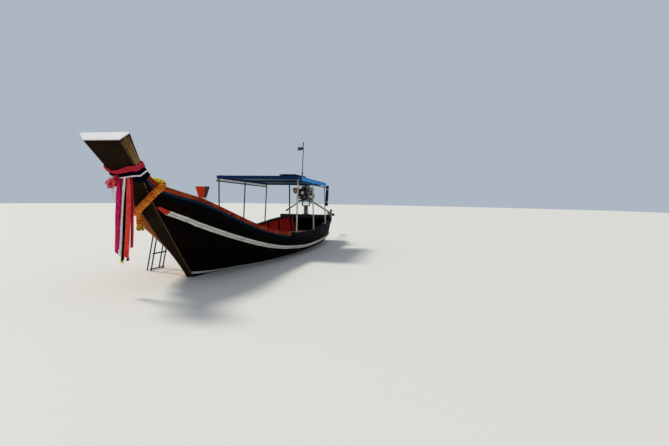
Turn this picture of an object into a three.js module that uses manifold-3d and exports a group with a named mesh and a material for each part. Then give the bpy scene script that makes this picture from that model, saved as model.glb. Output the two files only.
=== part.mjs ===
// Long-tail boat: a wooden Thai boat with a raised prow, a canopy and an engine on a swivel.
// Millimetres. +X bow, +Y port, +Z up. Origin on the centreline, amidships, on the waterline.
import * as THREE from "three";
import { mergeVertices } from "three/addons/utils/BufferGeometryUtils.js";
import Module from "manifold-3d";

const wasm = await Module();
wasm.setup();

// Driving dimensions
const gap = 0.3; // between pieces that touch
const far = 9000; // reaches past the boat on any side
const plank = 35; // hull planking
const ribDepth = 45;
const cavityHalf = 16; // the planks end this far from the centreline, over the timber
const ribWidth = 50;
const capThickness = 35; // the gunwale board lies this thick on the planking
const capWidth = 110;
const walePlank = 25; // the red wale stands out this far
const waleHeight = 95;
const sheerBandHeight = 68;
const seam = 7; // between the wale and the band under it
const sheerBandThickness = 10;
const strakeHeight = 85;
const strakeThickness = 28;
const stemDepth = 110;
const sectionSteps = 3; // facets between two lines of a section
const stationStep = 400;

// Hull sections, port side. Each section runs keel, bilge, strake, gunwale.
// The keel end of a section may lie forward or aft of its gunwale end.
const stations = [
  // x, keelX, keelZ, keelHalf, bilgeHalf, bilgeZ, strakeHalf, strakeZ, gunwaleHalf, gunwaleZ
  [-4200, -4080, -110, 45, 372, 20, 464, 285, 547, 769],
  [-3500, -3500, -170, 50, 500, 10, 655, 262, 748, 766],
  [-2800, -2800, -215, 50, 572, 0, 789, 244, 877, 717],
  [-1400, -1400, -270, 50, 640, 0, 915, 221, 984, 594],
  [0, 0, -285, 50, 645, 0, 927, 211, 997, 565],
  [1400, 1400, -285, 50, 530, 0, 869, 308, 966, 637],
  [2100, 2100, -283, 50, 405, 0, 812, 399, 904, 729],
  [2800, 2800, -275, 50, 210, 0, 745, 524, 830, 867],
  [3500, 3560, -235, 50, 92, 0, 666, 676, 757, 1047],
  [4100, 4260, 270, 71, 225, 500, 584, 838, 678, 1222],
  [4700, 4830, 781, 125, 325, 872, 452, 1020, 562, 1400],
  [5100, 5220, 1169, 141, 222, 1222, 292, 1290, 440, 1490],
  [5500, 5578, 1504, 190, 208, 1520, 235, 1545, 276, 1602],
];

// Keel and stem, the outer edge of the centreline timber from the stern up to the prow.
const stemLine = [
  // x, z, half
  [-4080, -110, 45],
  [-2800, -215, 50],
  [-1400, -270, 50],
  [0, -285, 50],
  [1400, -285, 50],
  [2800, -275, 50],
  [3300, -255, 50],
  [3650, -210, 50],
  [3850, -130, 52],
  [4000, 0, 55],
  [4112, 133, 62],
  [4466, 462, 84],
  [4804, 755, 125],
  [5196, 1146, 138],
  [5578, 1504, 190],
];

// Prow board above the planking: its front face follows the stem and its back the gunwales.
// Its sides draw in to a neck and flare again to the top.
const prow = [
  // frontX, frontZ, frontHalf, backX, backZ, backHalf
  [5578, 1504, 190, 5500, 1604, 300],
  [5673, 1595, 206, 5597, 1695, 267],
  [5798, 1711, 220, 5724, 1806, 253],
  [5923, 1828, 230, 5849, 1917, 258],
  [6149, 2013, 252, 6082, 2108, 323],
  [6310, 2144, 268, 6246, 2237, 374],
];
const prowCapThickness = 22;

// Rubbing strake: height of its middle along the side.
const strakeRows = [
  // x, z
  [-4200, 285],
  [-2800, 244],
  [-1400, 221],
  [0, 211],
  [1400, 308],
  [2100, 399],
  [2800, 524],
  [3500, 676],
  [4170, 838],
  [4786, 1020],
  [5300, 1240],
];
const strakeFrom = -4110;
const strakeTo = 5290;
const strakeTaperFrom = 4500; // the strake narrows from here to its forward end
const strakeEndHeight = 62;
const bandInner = 152; // the bands stay outboard of the stem's face
const capInner = 198; // and the gunwale boards outboard of its top

const foredeckFrom = 2350;
const foredeckTo = 5440;
const foredeckBelowCap = 115;
const deckThickness = 25;
const bulkheadThickness = 35;
const floorTop = 40;
const floorFrom = -2480;
const aftDeckTop = 290;
const aftDeckTo = -2500;
const transomThickness = 40;
const ribXs = [-3700, -3000, -2300, -1600, -1000, -400, 200, 800, 1400, 2000]; // one under each seat
const thwartXs = [1400, 200, -1000]; // middles of the seats
const thwartWidth = 280;
const thwartTop = 430;
const thwartThickness = 35;

const roofFront = 840;
const roofAft = -2160;
const roofFrontHalf = 1020;
const roofAftHalf = 900;
const roofFrontTop = 1880;
const roofAftTop = 1790;
const roofThickness = 28;
const railSize = 40;
const postRadius = 21;
const postXs = [800, -660, -2120];
const sternPostX = -3700;
const valanceHeight = 105;
const starboardValanceHeight = 112;
const sideRailDrop = 124; // middle of the side rail below the roof top
const sideRailRadius = 13;
const postInset = 42; // the posts' tops from the roof's edge

const pivotX = -3260;
const pivotZ = 1270;
const swivelZ = 1100; // the turret turns above this height
const cheekY = 111;
const cheekThickness = 14;
const pinRadius = 15;
const tailSlope = -0.178; // fall per length of the raised tail, going aft
const tailRadius = 27;
const tailAftX = -6560;
const propellerRadius = 150;
const hubFrom = 6; // the hub runs this far behind the tail's end
const hubLength = 110;
const shaftRadius = 11;
const boreRadius = 11.6;
const bearingDepth = 45;

// Interpolation of a table column: a cubic through the rows, its slopes from the neighbours.
function column(rows, index) {
  const xs = rows.map((row) => row[0]);
  const ys = rows.map((row) => row[index]);
  const last = xs.length - 1;
  const slopes = xs.map((_, i) => {
    const a = Math.max(i - 1, 0);
    const b = Math.min(i + 1, last);
    return (ys[b] - ys[a]) / (xs[b] - xs[a]);
  });
  return (x) => {
    let i = 0;
    while (i < last - 1 && x > xs[i + 1]) i++;
    const h = xs[i + 1] - xs[i];
    const t = (x - xs[i]) / h;
    const ease = t * t * (3 - 2 * t);
    const out = t * (1 - t) * (1 - t) * h;
    const into = t * t * (t - 1) * h;
    return ys[i] * (1 - ease) + ys[i + 1] * ease + slopes[i] * out + slopes[i + 1] * into;
  };
}

function range(from, to, step) {
  const count = Math.max(1, Math.round((to - from) / step));
  return Array.from({ length: count + 1 }, (_, i) => from + ((to - from) * i) / count);
}

// Every surface of the hull bends at the same frames, so that neighbours lie close.
const sternEnd = stations[0][0];
const bowEnd = stations[stations.length - 1][0];
const frames = range(sternEnd, bowEnd, stationStep);
const longFrames = [sternEnd - 100, ...frames, bowEnd + 25];

function straightBetweenFrames(f) {
  const values = longFrames.map(f);
  return (x) => {
    let i = 0;
    while (i < longFrames.length - 2 && x > longFrames[i + 1]) i++;
    const t = (x - longFrames[i]) / (longFrames[i + 1] - longFrames[i]);
    return values[i] + t * (values[i + 1] - values[i]);
  };
}

const [keelX, keelZ, keelHalf, bilgeHalf, bilgeZ, strakeHalf, strakeZ, gunwaleHalf, gunwaleZ] =
  stations[0].slice(1).map((_, i) => straightBetweenFrames(column(stations, i + 1)));
const strakeMiddle = straightBetweenFrames(column(strakeRows, 1));

// Closed mesh from rings with the same number of points. Each end is closed by a strip that
// pairs the first point with the last one, the second with the last but one, and so on.
// The second half of a ring is split like a mirror image of the first half.
function loft(rings) {
  const n = rings[0].length;
  const positions = rings.flat().flatMap((p) => [p[0], p[1], p[2]]);
  const faces = [];
  for (let r = 0; r + 1 < rings.length; r++) {
    for (let i = 0; i < n; i++) {
      const j = (i + 1) % n;
      const a = r * n;
      const b = a + n;
      if (i < n / 2 - 0.5) faces.push(a + i, a + j, b + j, a + i, b + j, b + i);
      else faces.push(a + i, a + j, b + i, a + j, b + j, b + i);
    }
  }
  const top = (rings.length - 1) * n;
  for (let i = 0; i + 1 < n / 2; i++) {
    const j = n - 1 - i;
    faces.push(i, j, j - 1, i, j - 1, i + 1);
    faces.push(top + i, top + j - 1, top + j, top + i, top + i + 1, top + j - 1);
  }
  return facingOut(positions, faces);
}

function facingOut(positions, faces) {
  let volume = 0;
  const at = (i) => new THREE.Vector3().fromArray(positions, 3 * i);
  for (let f = 0; f < faces.length; f += 3) {
    volume += at(faces[f]).dot(at(faces[f + 1]).cross(at(faces[f + 2])));
  }
  if (volume < 0) {
    for (let f = 0; f < faces.length; f += 3) {
      [faces[f + 1], faces[f + 2]] = [faces[f + 2], faces[f + 1]];
    }
  }
  const geometry = new THREE.BufferGeometry();
  geometry.setAttribute("position", new THREE.Float32BufferAttribute(positions, 3));
  geometry.setIndex(faces);
  return geometry;
}

// Solids for cutting and joining
function solid(geometry) {
  const bare = new THREE.BufferGeometry();
  bare.setAttribute("position", geometry.getAttribute("position").clone());
  if (geometry.index) bare.setIndex(geometry.index.clone());
  const merged = mergeVertices(bare, 1e-3);
  return new wasm.Manifold(
    new wasm.Mesh({
      numProp: 3,
      vertProperties: new Float32Array(merged.attributes.position.array),
      triVerts: new Uint32Array(merged.index.array),
    }),
  );
}

function geometryOf(shape) {
  const mesh = shape.getMesh();
  const geometry = new THREE.BufferGeometry();
  geometry.setAttribute("position", new THREE.BufferAttribute(mesh.vertProperties.slice(), 3));
  geometry.setIndex(new THREE.BufferAttribute(mesh.triVerts.slice(), 1));
  return geometry;
}

function block(low, high) {
  const size = high.map((v, i) => v - low[i]);
  const geometry = new THREE.BoxGeometry(...size);
  geometry.translate(...low.map((v, i) => v + size[i] / 2));
  return solid(geometry);
}

function rod(from, to, radius, sides = 16, endRadius = radius) {
  const a = new THREE.Vector3(...from);
  const b = new THREE.Vector3(...to);
  const along = b.clone().sub(a);
  const geometry = new THREE.CylinderGeometry(endRadius, radius, along.length(), sides);
  const turn = new THREE.Quaternion().setFromUnitVectors(
    new THREE.Vector3(0, 1, 0),
    along.clone().normalize(),
  );
  geometry.applyQuaternion(turn);
  geometry.translate(...a.add(b).multiplyScalar(0.5).toArray());
  return solid(geometry);
}

function tube(points, radius, steps, sides = 10) {
  const section = new THREE.Shape();
  section.absarc(0, 0, radius, 0, 2 * Math.PI);
  const path = new THREE.CatmullRomCurve3(points.map((p) => new THREE.Vector3(...p)));
  const geometry = new THREE.ExtrudeGeometry(section, {
    steps,
    extrudePath: path,
    curveSegments: sides / 2,
    bevelEnabled: false,
  });
  return solid(geometry);
}

const join = (shapes) => shapes.reduce((a, b) => a.add(b));
const cut = (shape, cutters) => cutters.reduce((a, b) => a.subtract(b), shape);
const mirrored = (shape) => shape.mirror([0, 1, 0]);

// One section of the hull, port side, from the keel to the top of the planking, moved outwards
// by grow, or inwards where grow is negative.
function section(x, grow = 0) {
  const lift = gunwaleZ(x) - capThickness;
  const corners = [
    [keelHalf(x), keelZ(x)],
    [bilgeHalf(x), bilgeZ(x)],
    [strakeHalf(x), strakeZ(x)],
    [gunwaleHalf(x), lift],
  ];
  const curve = new THREE.CatmullRomCurve3(corners.map(([y, z]) => new THREE.Vector3(0, y, z)));
  const count = 3 * sectionSteps;
  const line = Array.from({ length: count + 1 }, (_, i) => {
    const p = curve.getPoint(i / count);
    return [p.y, p.z];
  });
  const moved = line.map(([y, z], i) => {
    const [y0, z0] = line[Math.max(i - 1, 0)];
    const [y1, z1] = line[Math.min(i + 1, count)];
    const length = Math.hypot(y1 - y0, z1 - z0);
    return [y + ((z1 - z0) / length) * grow, z - ((y1 - y0) / length) * grow];
  });
  const low = keelZ(x);
  return { line: moved, forwardAt: (z) => x + ((keelX(x) - x) * (lift - z)) / (lift - low) };
}

// The part of an inner section that lies off the centreline, with its points spread evenly.
function clipped(line, least) {
  const kept = [];
  line.forEach(([y, z], i) => {
    if (i > 0 && line[i - 1][0] < least && y >= least) {
      const [y0, z0] = line[i - 1];
      const t = (least - y0) / (y - y0);
      kept.push([least, z0 + t * (z - z0)]);
    }
    if (y >= least) kept.push([y, z]);
  });
  const count = line.length - 1;
  const lengths = [0];
  for (let i = 1; i < kept.length; i++) {
    lengths.push(lengths[i - 1] + Math.hypot(kept[i][0] - kept[i - 1][0], kept[i][1] - kept[i - 1][1]));
  }
  return Array.from({ length: count + 1 }, (_, k) => {
    const at = (lengths[lengths.length - 1] * k) / count;
    let i = 1;
    while (i < kept.length - 1 && lengths[i] < at) i++;
    const t = (at - lengths[i - 1]) / (lengths[i] - lengths[i - 1]);
    return [0, 1].map((c) => kept[i - 1][c] + t * (kept[i][c] - kept[i - 1][c]));
  });
}

// Closed body of the hull's form, flat across the top.
function hullForm(grow, raise, along) {
  const rings = along.map((x) => {
    const shape = section(x, grow);
    const line = grow < -1 ? clipped(shape.line, cavityHalf) : shape.line;
    const top = line[line.length - 1];
    const side = raise > 0 ? [...line, [top[0], gunwaleZ(x) - capThickness + raise]] : line;
    const port = side.map(([y, z]) => [shape.forwardAt(z), y, z]);
    return [...port, ...port.map(([px, py, pz]) => [px, -py, pz]).reverse()];
  });
  return solid(loft(rings));
}

// A block that runs along the boat between two heights that change with x.
function layer(low, high, from, to, inner = -far, outer = far) {
  const along = [from, ...longFrames.filter((x) => x > from + 1 && x < to - 1), to];
  const rings = along.map((x) => [
    [x, inner, low(x)],
    [x, outer, low(x)],
    [x, outer, high(x)],
    [x, inner, high(x)],
  ]);
  return solid(loft(rings));
}

const outer = hullForm(0, 0, frames);
const around = hullForm(gap, 60, longFrames);
const cavity = (depth) => hullForm(-depth, 300, longFrames);
const hold = cavity(plank);
const holdInRibs = cavity(plank + ribDepth);
const seats = cavity(plank + ribDepth + gap);
const deckSpace = cavity(plank + gap);

// Keel and stem timber
function centreTimber(depth, grow) {
  const path = new THREE.CatmullRomCurve3(
    stemLine.map(([x, z, half]) => new THREE.Vector3(x, half, z)),
  );
  const count = 44;
  const rings = Array.from({ length: count + 1 }, (_, i) => {
    const p = path.getPoint(i / count);
    const along = path.getTangent(i / count);
    const length = Math.hypot(along.x, along.z);
    const inward = [(-along.z / length) * depth, (along.x / length) * depth];
    const out = [(along.z / length) * grow, (-along.x / length) * grow];
    const half = p.y + grow;
    const front = [p.x + out[0], p.z + out[1]];
    const back = [p.x + inward[0], p.z + inward[1]];
    return [
      [front[0], half, front[1]],
      [back[0], half, back[1]],
      [back[0], -half, back[1]],
      [front[0], -half, front[1]],
    ];
  });
  return solid(loft(rings));
}

const timber = centreTimber(stemDepth, 0);
const timberRoom = centreTimber(stemDepth + gap, gap);

// Transom: the aft slice of the form, raked like the first section.
function sternSlice(from, to) {
  const [, lowX, lowZ] = stations[0];
  const highX = sternEnd;
  const highZ = stations[0][9] - capThickness;
  const at = (z) => highX + ((lowX - highX) * (highZ - z)) / (highZ - lowZ);
  const rings = [-1500, 1500].map((y) => [
    [at(-1000) + from, y, -1000],
    [at(2000) + from, y, 2000],
    [at(2000) + to, y, 2000],
    [at(-1000) + to, y, -1000],
  ]);
  return solid(loft(rings));
}
const transomRoom = centreTimber(stemDepth + 2 * gap, 2 * gap);
const transom = cut(outer.intersect(sternSlice(-50, transomThickness)), [transomRoom]);
const clearOfTransom = sternSlice(-200, transomThickness + gap);

// Planking with its ribs
const ribSlabs = join(
  ribXs.map((x) => block([x - ribWidth / 2, -far, -far], [x + ribWidth / 2, far, far])),
);
const topOfPlanking = (x) => gunwaleZ(x) - capThickness;
const shell = cut(outer, [hold.subtract(ribSlabs), holdInRibs, timberRoom, clearOfTransom]);
const portHalf = block([-far, cavityHalf, -far], [far, far, far]);
const lower = layer(() => -2000, (x) => strakeMiddle(x) - gap / 2, sternEnd - 100, bowEnd + 200);
const upper = layer((x) => strakeMiddle(x) + gap / 2, () => 4000, sternEnd - 100, bowEnd + 200);
const shellPort = shell.intersect(portHalf);
const bottomPort = biggest(shellPort.intersect(lower));
const topsidePort = biggest(shellPort.intersect(upper));

function biggest(shape) {
  return shape.decompose().sort((a, b) => b.volume() - a.volume())[0];
}

// Gunwale board with its wale, and the coloured band under it
function gunwale(grow) {
  const at = (shape, z) => {
    const { line, forwardAt } = shape;
    let i = line.length - 2;
    while (i > 0 && line[i][1] > z) i--;
    const t = (z - line[i][1]) / (line[i + 1][1] - line[i][1]);
    return [forwardAt(z), line[i][0] + t * (line[i + 1][0] - line[i][0]), z];
  };
  const along = grow ? longFrames : frames;
  const rings = along.map((x) => {
    const top = gunwaleZ(x);
    const under = top - capThickness + gap;
    const low = at(section(x, 3 * gap), Math.max(top - waleHeight, keelZ(x) + 20) - grow);
    const edge = gunwaleHalf(x) + 3 * gap;
    const inside = Math.max(edge - capWidth, capInner);
    return [
      [low[0], low[1] + walePlank + grow, low[2]],
      [x, edge + walePlank + grow, top + grow],
      [x, inside - grow, top + grow],
      [x, inside - grow, under],
      [x, edge, under],
      low,
    ];
  });
  return cut(solid(loft(rings)), [around.intersect(belowPlankTop)]);
}
const belowPlankTop = layer(() => -2000, topOfPlanking, sternEnd - 100, bowEnd + 200);
const gunwalePort = gunwale(0);
const gunwaleRoom = gunwale(2 * gap).add(mirrored(gunwale(2 * gap)));

function band(low, high, thickness, from, to) {
  const skin = hullForm(thickness, 0, frames);
  return biggest(cut(skin.intersect(layer(low, high, from, to, bandInner)), [around, gunwaleRoom]));
}

const waleLow = (x) => gunwaleZ(x) - waleHeight - seam;
const sheerBand = band(
  (x) => waleLow(x) - sheerBandHeight,
  waleLow,
  sheerBandThickness,
  sternEnd + 40,
  5300,
);
function strakeHalfHeight(x) {
  const share = Math.max(0, (x - strakeTaperFrom) / (strakeTo - strakeTaperFrom));
  return (strakeHeight + (strakeEndHeight - strakeHeight) * Math.min(share, 1)) / 2;
}
const strake = band(
  (x) => strakeMiddle(x) - strakeHalfHeight(x),
  (x) => strakeMiddle(x) + strakeHalfHeight(x),
  strakeThickness,
  strakeFrom,
  strakeTo,
);

// Inner woodwork
const foredeckTop = (x) => gunwaleZ(x) - foredeckBelowCap;
const foredeckUnder = (x) => foredeckTop(x) - deckThickness;
const foredeck = biggest(
  cut(deckSpace.intersect(layer(foredeckUnder, foredeckTop, foredeckFrom, foredeckTo)), [timberRoom]),
);
const bulkhead = biggest(
  cut(
    seats.intersect(
      layer(() => -2000, (x) => foredeckUnder(x) - gap, foredeckFrom, foredeckFrom + bulkheadThickness),
    ),
    [timberRoom],
  ),
);
const flat = (top, thickness, from, to) => layer(() => top - thickness, () => top, from, to);
const floorboards = biggest(
  seats.intersect(flat(floorTop, deckThickness, floorFrom, foredeckFrom - gap)),
);
const aftDeck = biggest(
  cut(seats.intersect(flat(aftDeckTop, deckThickness, sternEnd, aftDeckTo)), [clearOfTransom]),
);
const thwarts = thwartXs.map((x) =>
  biggest(
    seats.intersect(flat(thwartTop, thwartThickness, x - thwartWidth / 2, x + thwartWidth / 2)),
  ),
);

// Post on the foredeck: square, with a head that flares upwards
const bittX = 3520;
const bittNeckZ = 1385;
const bittHeadZ = 1593;
const bittNeckHalf = 50;
const bittHeadHalf = 96;
function mooringBitt() {
  const foot = foredeckTop(bittX) - 80;
  const ring = (half, z) => [
    [bittX + half, half, z],
    [bittX - half, half, z],
    [bittX - half, -half, z],
    [bittX + half, -half, z],
  ];
  const rings = [
    ring(bittNeckHalf, foot),
    ring(bittNeckHalf, bittNeckZ),
    ring(bittHeadHalf, bittHeadZ),
  ];
  return cut(solid(loft(rings)), [
    layer(() => -2000, (px) => foredeckTop(px) + gap, foredeckFrom, foredeckTo),
  ]);
}

// Prow board and its white end
function prowBoard(rows) {
  return solid(
    loft(
      rows.map(([frontX, frontZ, frontHalf, backX, backZ, backHalf]) => [
        [frontX, frontHalf, frontZ],
        [backX, backHalf, backZ],
        [backX, -backHalf, backZ],
        [frontX, -frontHalf, frontZ],
      ]),
    ),
  );
}
const prowFoot = prow[0];
const prowTop = prow[prow.length - 1];
const prowDirection = new THREE.Vector2(
  prowTop[0] - prowFoot[0],
  prowTop[1] - prowFoot[1],
).normalize();
const alongProw = (row, length) => [
  row[0] + prowDirection.x * length,
  row[1] + prowDirection.y * length,
  row[2],
  row[3] + prowDirection.x * length,
  row[4] + prowDirection.y * length,
  row[5],
];
const prowWood = prowBoard([alongProw(prowFoot, gap), ...prow.slice(1)]);
const prowEnd = prowBoard([alongProw(prowTop, gap), alongProw(prowTop, prowCapThickness)]);

// Canopy
const roofShare = (x) => (x - roofAft) / (roofFront - roofAft);
const roofTop = (x) => roofAftTop + (roofFrontTop - roofAftTop) * roofShare(x);
const roofHalf = (x) => roofAftHalf + (roofFrontHalf - roofAftHalf) * roofShare(x);
const roofUnder = (x) => roofTop(x) - roofThickness;
const railUnder = (x) => roofUnder(x) - railSize;
const postHalf = (x) => gunwaleHalf(x) - 28;

function roofBar(from, to, half, halfWidth, low, high) {
  const rings = [from, to].map((x) => [
    [x, half(x) - halfWidth, low(x)],
    [x, half(x) - halfWidth, high(x)],
    [x, half(x) + halfWidth, high(x)],
    [x, half(x) + halfWidth, low(x)],
  ]);
  return solid(loft(rings));
}
function roof() {
  const slab = solid(
    loft(
      [roofAft, roofFront].map((x) => [
        [x, roofHalf(x), roofUnder(x)],
        [x, roofHalf(x), roofTop(x)],
        [x, -roofHalf(x), roofTop(x)],
        [x, -roofHalf(x), roofUnder(x)],
      ]),
    ),
  );
  const overlap = (x) => roofUnder(x) + 5;
  const rail = roofBar(roofAft, roofFront, (x) => roofHalf(x) - 40, railSize / 2, railUnder, overlap);
  const beams = postXs.map((x) =>
    roofBar(x - railSize / 2, x + railSize / 2, () => 0, roofHalf(x) - 60, railUnder, overlap),
  );
  return join([slab, rail, mirrored(rail), ...beams]);
}

// A post stands on the gunwale board and reaches up to the roof's frame.
function postLine(x, topZ) {
  const foot = [x, postHalf(x), gunwaleZ(x) - 60];
  const topHalf = Math.min(roofHalf(Math.max(x, roofAft)) - postInset, foot[1] + 20);
  return [foot, [x, topHalf, topZ(x) + 60]];
}
function post(x, topZ) {
  const under = layer(() => -2000, (px) => gunwaleZ(px) + gap, x - 200, x + 200);
  const over = layer((px) => topZ(px) - gap, () => 4000, x - 200, x + 200);
  return cut(rod(...postLine(x, topZ), postRadius, 12), [under, over, sideRail(gap)]);
}

// Rail along the outside of the posts, let into them a little.
function sideRail(grow) {
  const at = (x) => [
    x,
    roofHalf(x) - postInset + postRadius + sideRailRadius - 3,
    roofTop(x) - sideRailDrop,
  ];
  return rod(at(postXs[0] + 60 + grow), at(postXs[2] - 60 - grow), sideRailRadius + grow, 10);
}

// Cloth strip that hangs from the roof's edge
function valance(from, to, height) {
  return roofBar(from, to, (x) => roofHalf(x) + gap + 2, 2, (x) => roofTop(x) - height, roofTop);
}

// The unit on the lateral pin: a frame of two rails, the engine on it and the tail behind it
const railY = 70;
const railHalfWidth = 20;
const railHalfHeight = 25;
const railsAft = -3760;
const railsFore = -2760;
const crossXs = [-3740, -3400, -3060, -2790];
const crossHalf = 30;
const pinReach = 22; // past the cheeks
function cradle() {
  const rails = [-1, 1].map((side) =>
    block(
      [railsAft, side * railY - railHalfWidth, pivotZ - railHalfHeight],
      [railsFore, side * railY + railHalfWidth, pivotZ + railHalfHeight],
    ),
  );
  const cross = crossXs.map((x) =>
    block(
      [x - crossHalf, -railY - 10, pivotZ - railHalfHeight + 1],
      [x + crossHalf, railY + 10, pivotZ + railHalfHeight - 1],
    ),
  );
  const reach = cheekY + pinReach;
  const pin = rod([pivotX, -reach, pivotZ], [pivotX, reach, pivotZ], pinRadius, 16);
  return join([...rails, ...cross, pin]);
}

// Engine, front end forward. The crankshaft's pulley drives the fan's and the alternator's.
const blockAft = -3600;
const blockFore = -3000;
const housingAft = railsAft - 9.8;
const crankZ = 1390;
const engineFloor = pivotZ + railHalfHeight + gap;
const crankcaseZ = 1338; // over the cheeks as the unit tilts
const coverFore = blockFore + 35;
const beltX = coverFore + 22;
const fanFore = -2862;
const fanRadius = 178;
const fanBlades = 6;
const pulleys = [
  // y, z, radius
  [0, crankZ, 72],
  [0, 1508, 48],
  [236, 1600, 34],
];
const alternatorRadius = 62;
const silencer = { y: -300, z: 1622, radius: 44, aft: -3420, fore: -2960 };
const headerXs = [-3510, -3380, -3240, -3110];

function engineFan() {
  const [y, z] = pulleys[1];
  const hub = rod([beltX, y, z], [fanFore, y, z], 30, 16);
  const plate = rod([fanFore - 12, y, z], [fanFore - 4, y, z], 62, 20);
  const blades = Array.from({ length: fanBlades }, (_, k) => {
    const rings = [
      // radius, half width, half depth
      [45, 26, 3],
      [110, 44, 14],
      [fanRadius, 52, 20],
    ].map(([radius, half, depth]) => [
      [depth + 3, half, radius],
      [depth - 3, half, radius],
      [-depth - 3, -half, radius],
      [-depth + 3, -half, radius],
    ]);
    const geometry = loft(rings);
    geometry.rotateX((k * 2 * Math.PI) / fanBlades);
    geometry.translate(fanFore - 8, y, z);
    return solid(geometry);
  });
  return join([hub, plate, ...blades]);
}

function belt() {
  const around = (extra, halfWidth) => {
    const ends = [beltX - halfWidth, beltX + halfWidth];
    const discs = pulleys.map(([y, z, radius]) =>
      rod(...ends.map((x) => [x, y, z]), radius + extra, 24),
    );
    return wasm.Manifold.hull(discs);
  };
  return around(5, 9).subtract(around(-1, 12));
}

function engine() {
  const sump = block([blockAft + 30, -86, engineFloor], [blockFore - 30, 86, crankcaseZ + 5]);
  const crankcase = block([blockAft, -118, crankcaseZ], [blockFore, 118, 1450]);
  const cylinders = block([blockAft + 20, -92, 1440], [blockFore - 10, 92, 1590]);
  const head = block([blockAft + 10, -104, 1580], [blockFore, 104, 1640]);
  const cover = solid(
    loft(
      [blockAft + 40, blockFore - 30].map((x) => [
        [x, -78, 1636],
        [x, -60, 1702],
        [x, 60, 1702],
        [x, 78, 1636],
      ]),
    ),
  );
  const frontCover = block([blockFore - 5, -112, engineFloor + 20], [coverFore, 112, 1560]);
  const bellHousing = rod([blockAft + 5, 0, 1410], [housingAft - 30, 0, 1290], 172, 24, 92);
  const starter = rod([-3600, 150, 1390], [-3380, 150, 1390], 42, 16);
  const wheels = pulleys.map(([y, z, radius]) => rod([coverFore - 5, y, z], [beltX + 10, y, z], radius, 24));
  const [alternatorY, alternatorZ] = pulleys[2];
  const alternator = rod(
    [blockFore - 120, alternatorY, alternatorZ],
    [coverFore, alternatorY, alternatorZ],
    alternatorRadius,
    20,
  );
  const bracket = block([blockFore - 80, 80, 1560], [blockFore - 40, alternatorY, 1600]);
  const outlet = rod([blockFore - 20, 92, 1585], [coverFore + 22, 92, 1585], 36, 16);
  const filter = rod([-3300, -20, 1716], [-3300, -20, 1796], 128, 28);
  const filterLid = rod([-3300, -20, 1790], [-3300, -20, 1812], 96, 28);
  const carburettor = block([-3345, -65, 1620], [-3255, 25, 1720]);
  const headers = headerXs.map((x) =>
    tube(
      [
        [x, -95, 1612],
        [x, -190, 1600],
        [x + 25, -248, 1560],
        [x + 70, -270, 1532],
      ],
      21,
      5,
      8,
    ),
  );
  const collector = rod([-3540, -268, 1536], [-2990, -268, 1520], 34, 14);
  const exhaust = tube(
    [
      [-3020, -268, 1522],
      [-2950, -275, 1530],
      [-2925, -292, 1580],
      [-2965, silencer.y, silencer.z],
    ],
    27,
    6,
    10,
  );
  const box = rod(
    [silencer.aft, silencer.y, silencer.z],
    [silencer.fore, silencer.y, silencer.z],
    silencer.radius,
    18,
  );
  const filterCan = rod([-3180, 118, 1400], [-3180, 205, 1380], 40, 18);
  const topHose = tube(
    [
      [coverFore + 10, 92, 1585],
      [coverFore + 60, 80, 1640],
      [blockFore - 10, 40, 1735],
      [-3150, 20, 1745],
    ],
    17,
    8,
    8,
  );
  const lowerHose = tube(
    [
      [coverFore - 10, -60, 1460],
      [coverFore + 70, -130, 1450],
      [coverFore + 30, -190, 1380],
      [blockFore - 60, -150, 1340],
      [blockFore - 90, -110, 1340],
    ],
    18,
    10,
    8,
  );
  const parts = join([
    sump, crankcase, cylinders, head, cover, frontCover, bellHousing, starter, ...wheels, belt(),
    alternator, bracket, outlet, filter, filterLid, carburettor, ...headers, collector, exhaust,
    box, filterCan, topHose, lowerHose, engineFan(),
  ]);
  return cut(parts, [
    block([-far, -far, -far], [far, far, engineFloor]),
    block([-far, -far, -far], [housingAft, far, far]),
  ]);
}

const tailZ = (x) => pivotZ + 40 - tailSlope * (x - (pivotX - 300));

// Tail: a tube over the drive shaft, with a flange, an end bearing and a fin under the propeller
const flangeAft = railsAft - 40;
const flangeRadius = 75;
const endBearingLength = 160;
const endBearingRadius = 42;
const finHalf = 5;
const finRoot = 620; // from the tail's end
const finDrop = 260;
function tail() {
  const at = (x) => [x, 0, tailZ(x)];
  const start = at(railsAft + 20);
  const tube = rod(start, at(tailAftX), tailRadius, 16);
  const flange = rod(start, at(flangeAft), flangeRadius, 18);
  const bearing = rod(at(tailAftX + endBearingLength), at(tailAftX), endBearingRadius, 16);
  const finZ = tailZ(tailAftX + 380) - finDrop;
  const fin = solid(
    loft(
      [-finHalf, finHalf].map((y) => [
        [tailAftX + finRoot, y, tailZ(tailAftX + finRoot)],
        [tailAftX + 60, y, tailZ(tailAftX + 60)],
        [tailAftX + 40, y, finZ],
        [tailAftX + 130, y, finZ - 20],
      ]),
    ),
  );
  const aheadOfFlange = block([railsAft - 10.4, -far, -far], [far, far, far]);
  return cut(join([tube, flange, bearing, fin]), [
    aheadOfFlange,
    driveShaft(boreRadius, bearingDepth + 5),
  ]);
}

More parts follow.
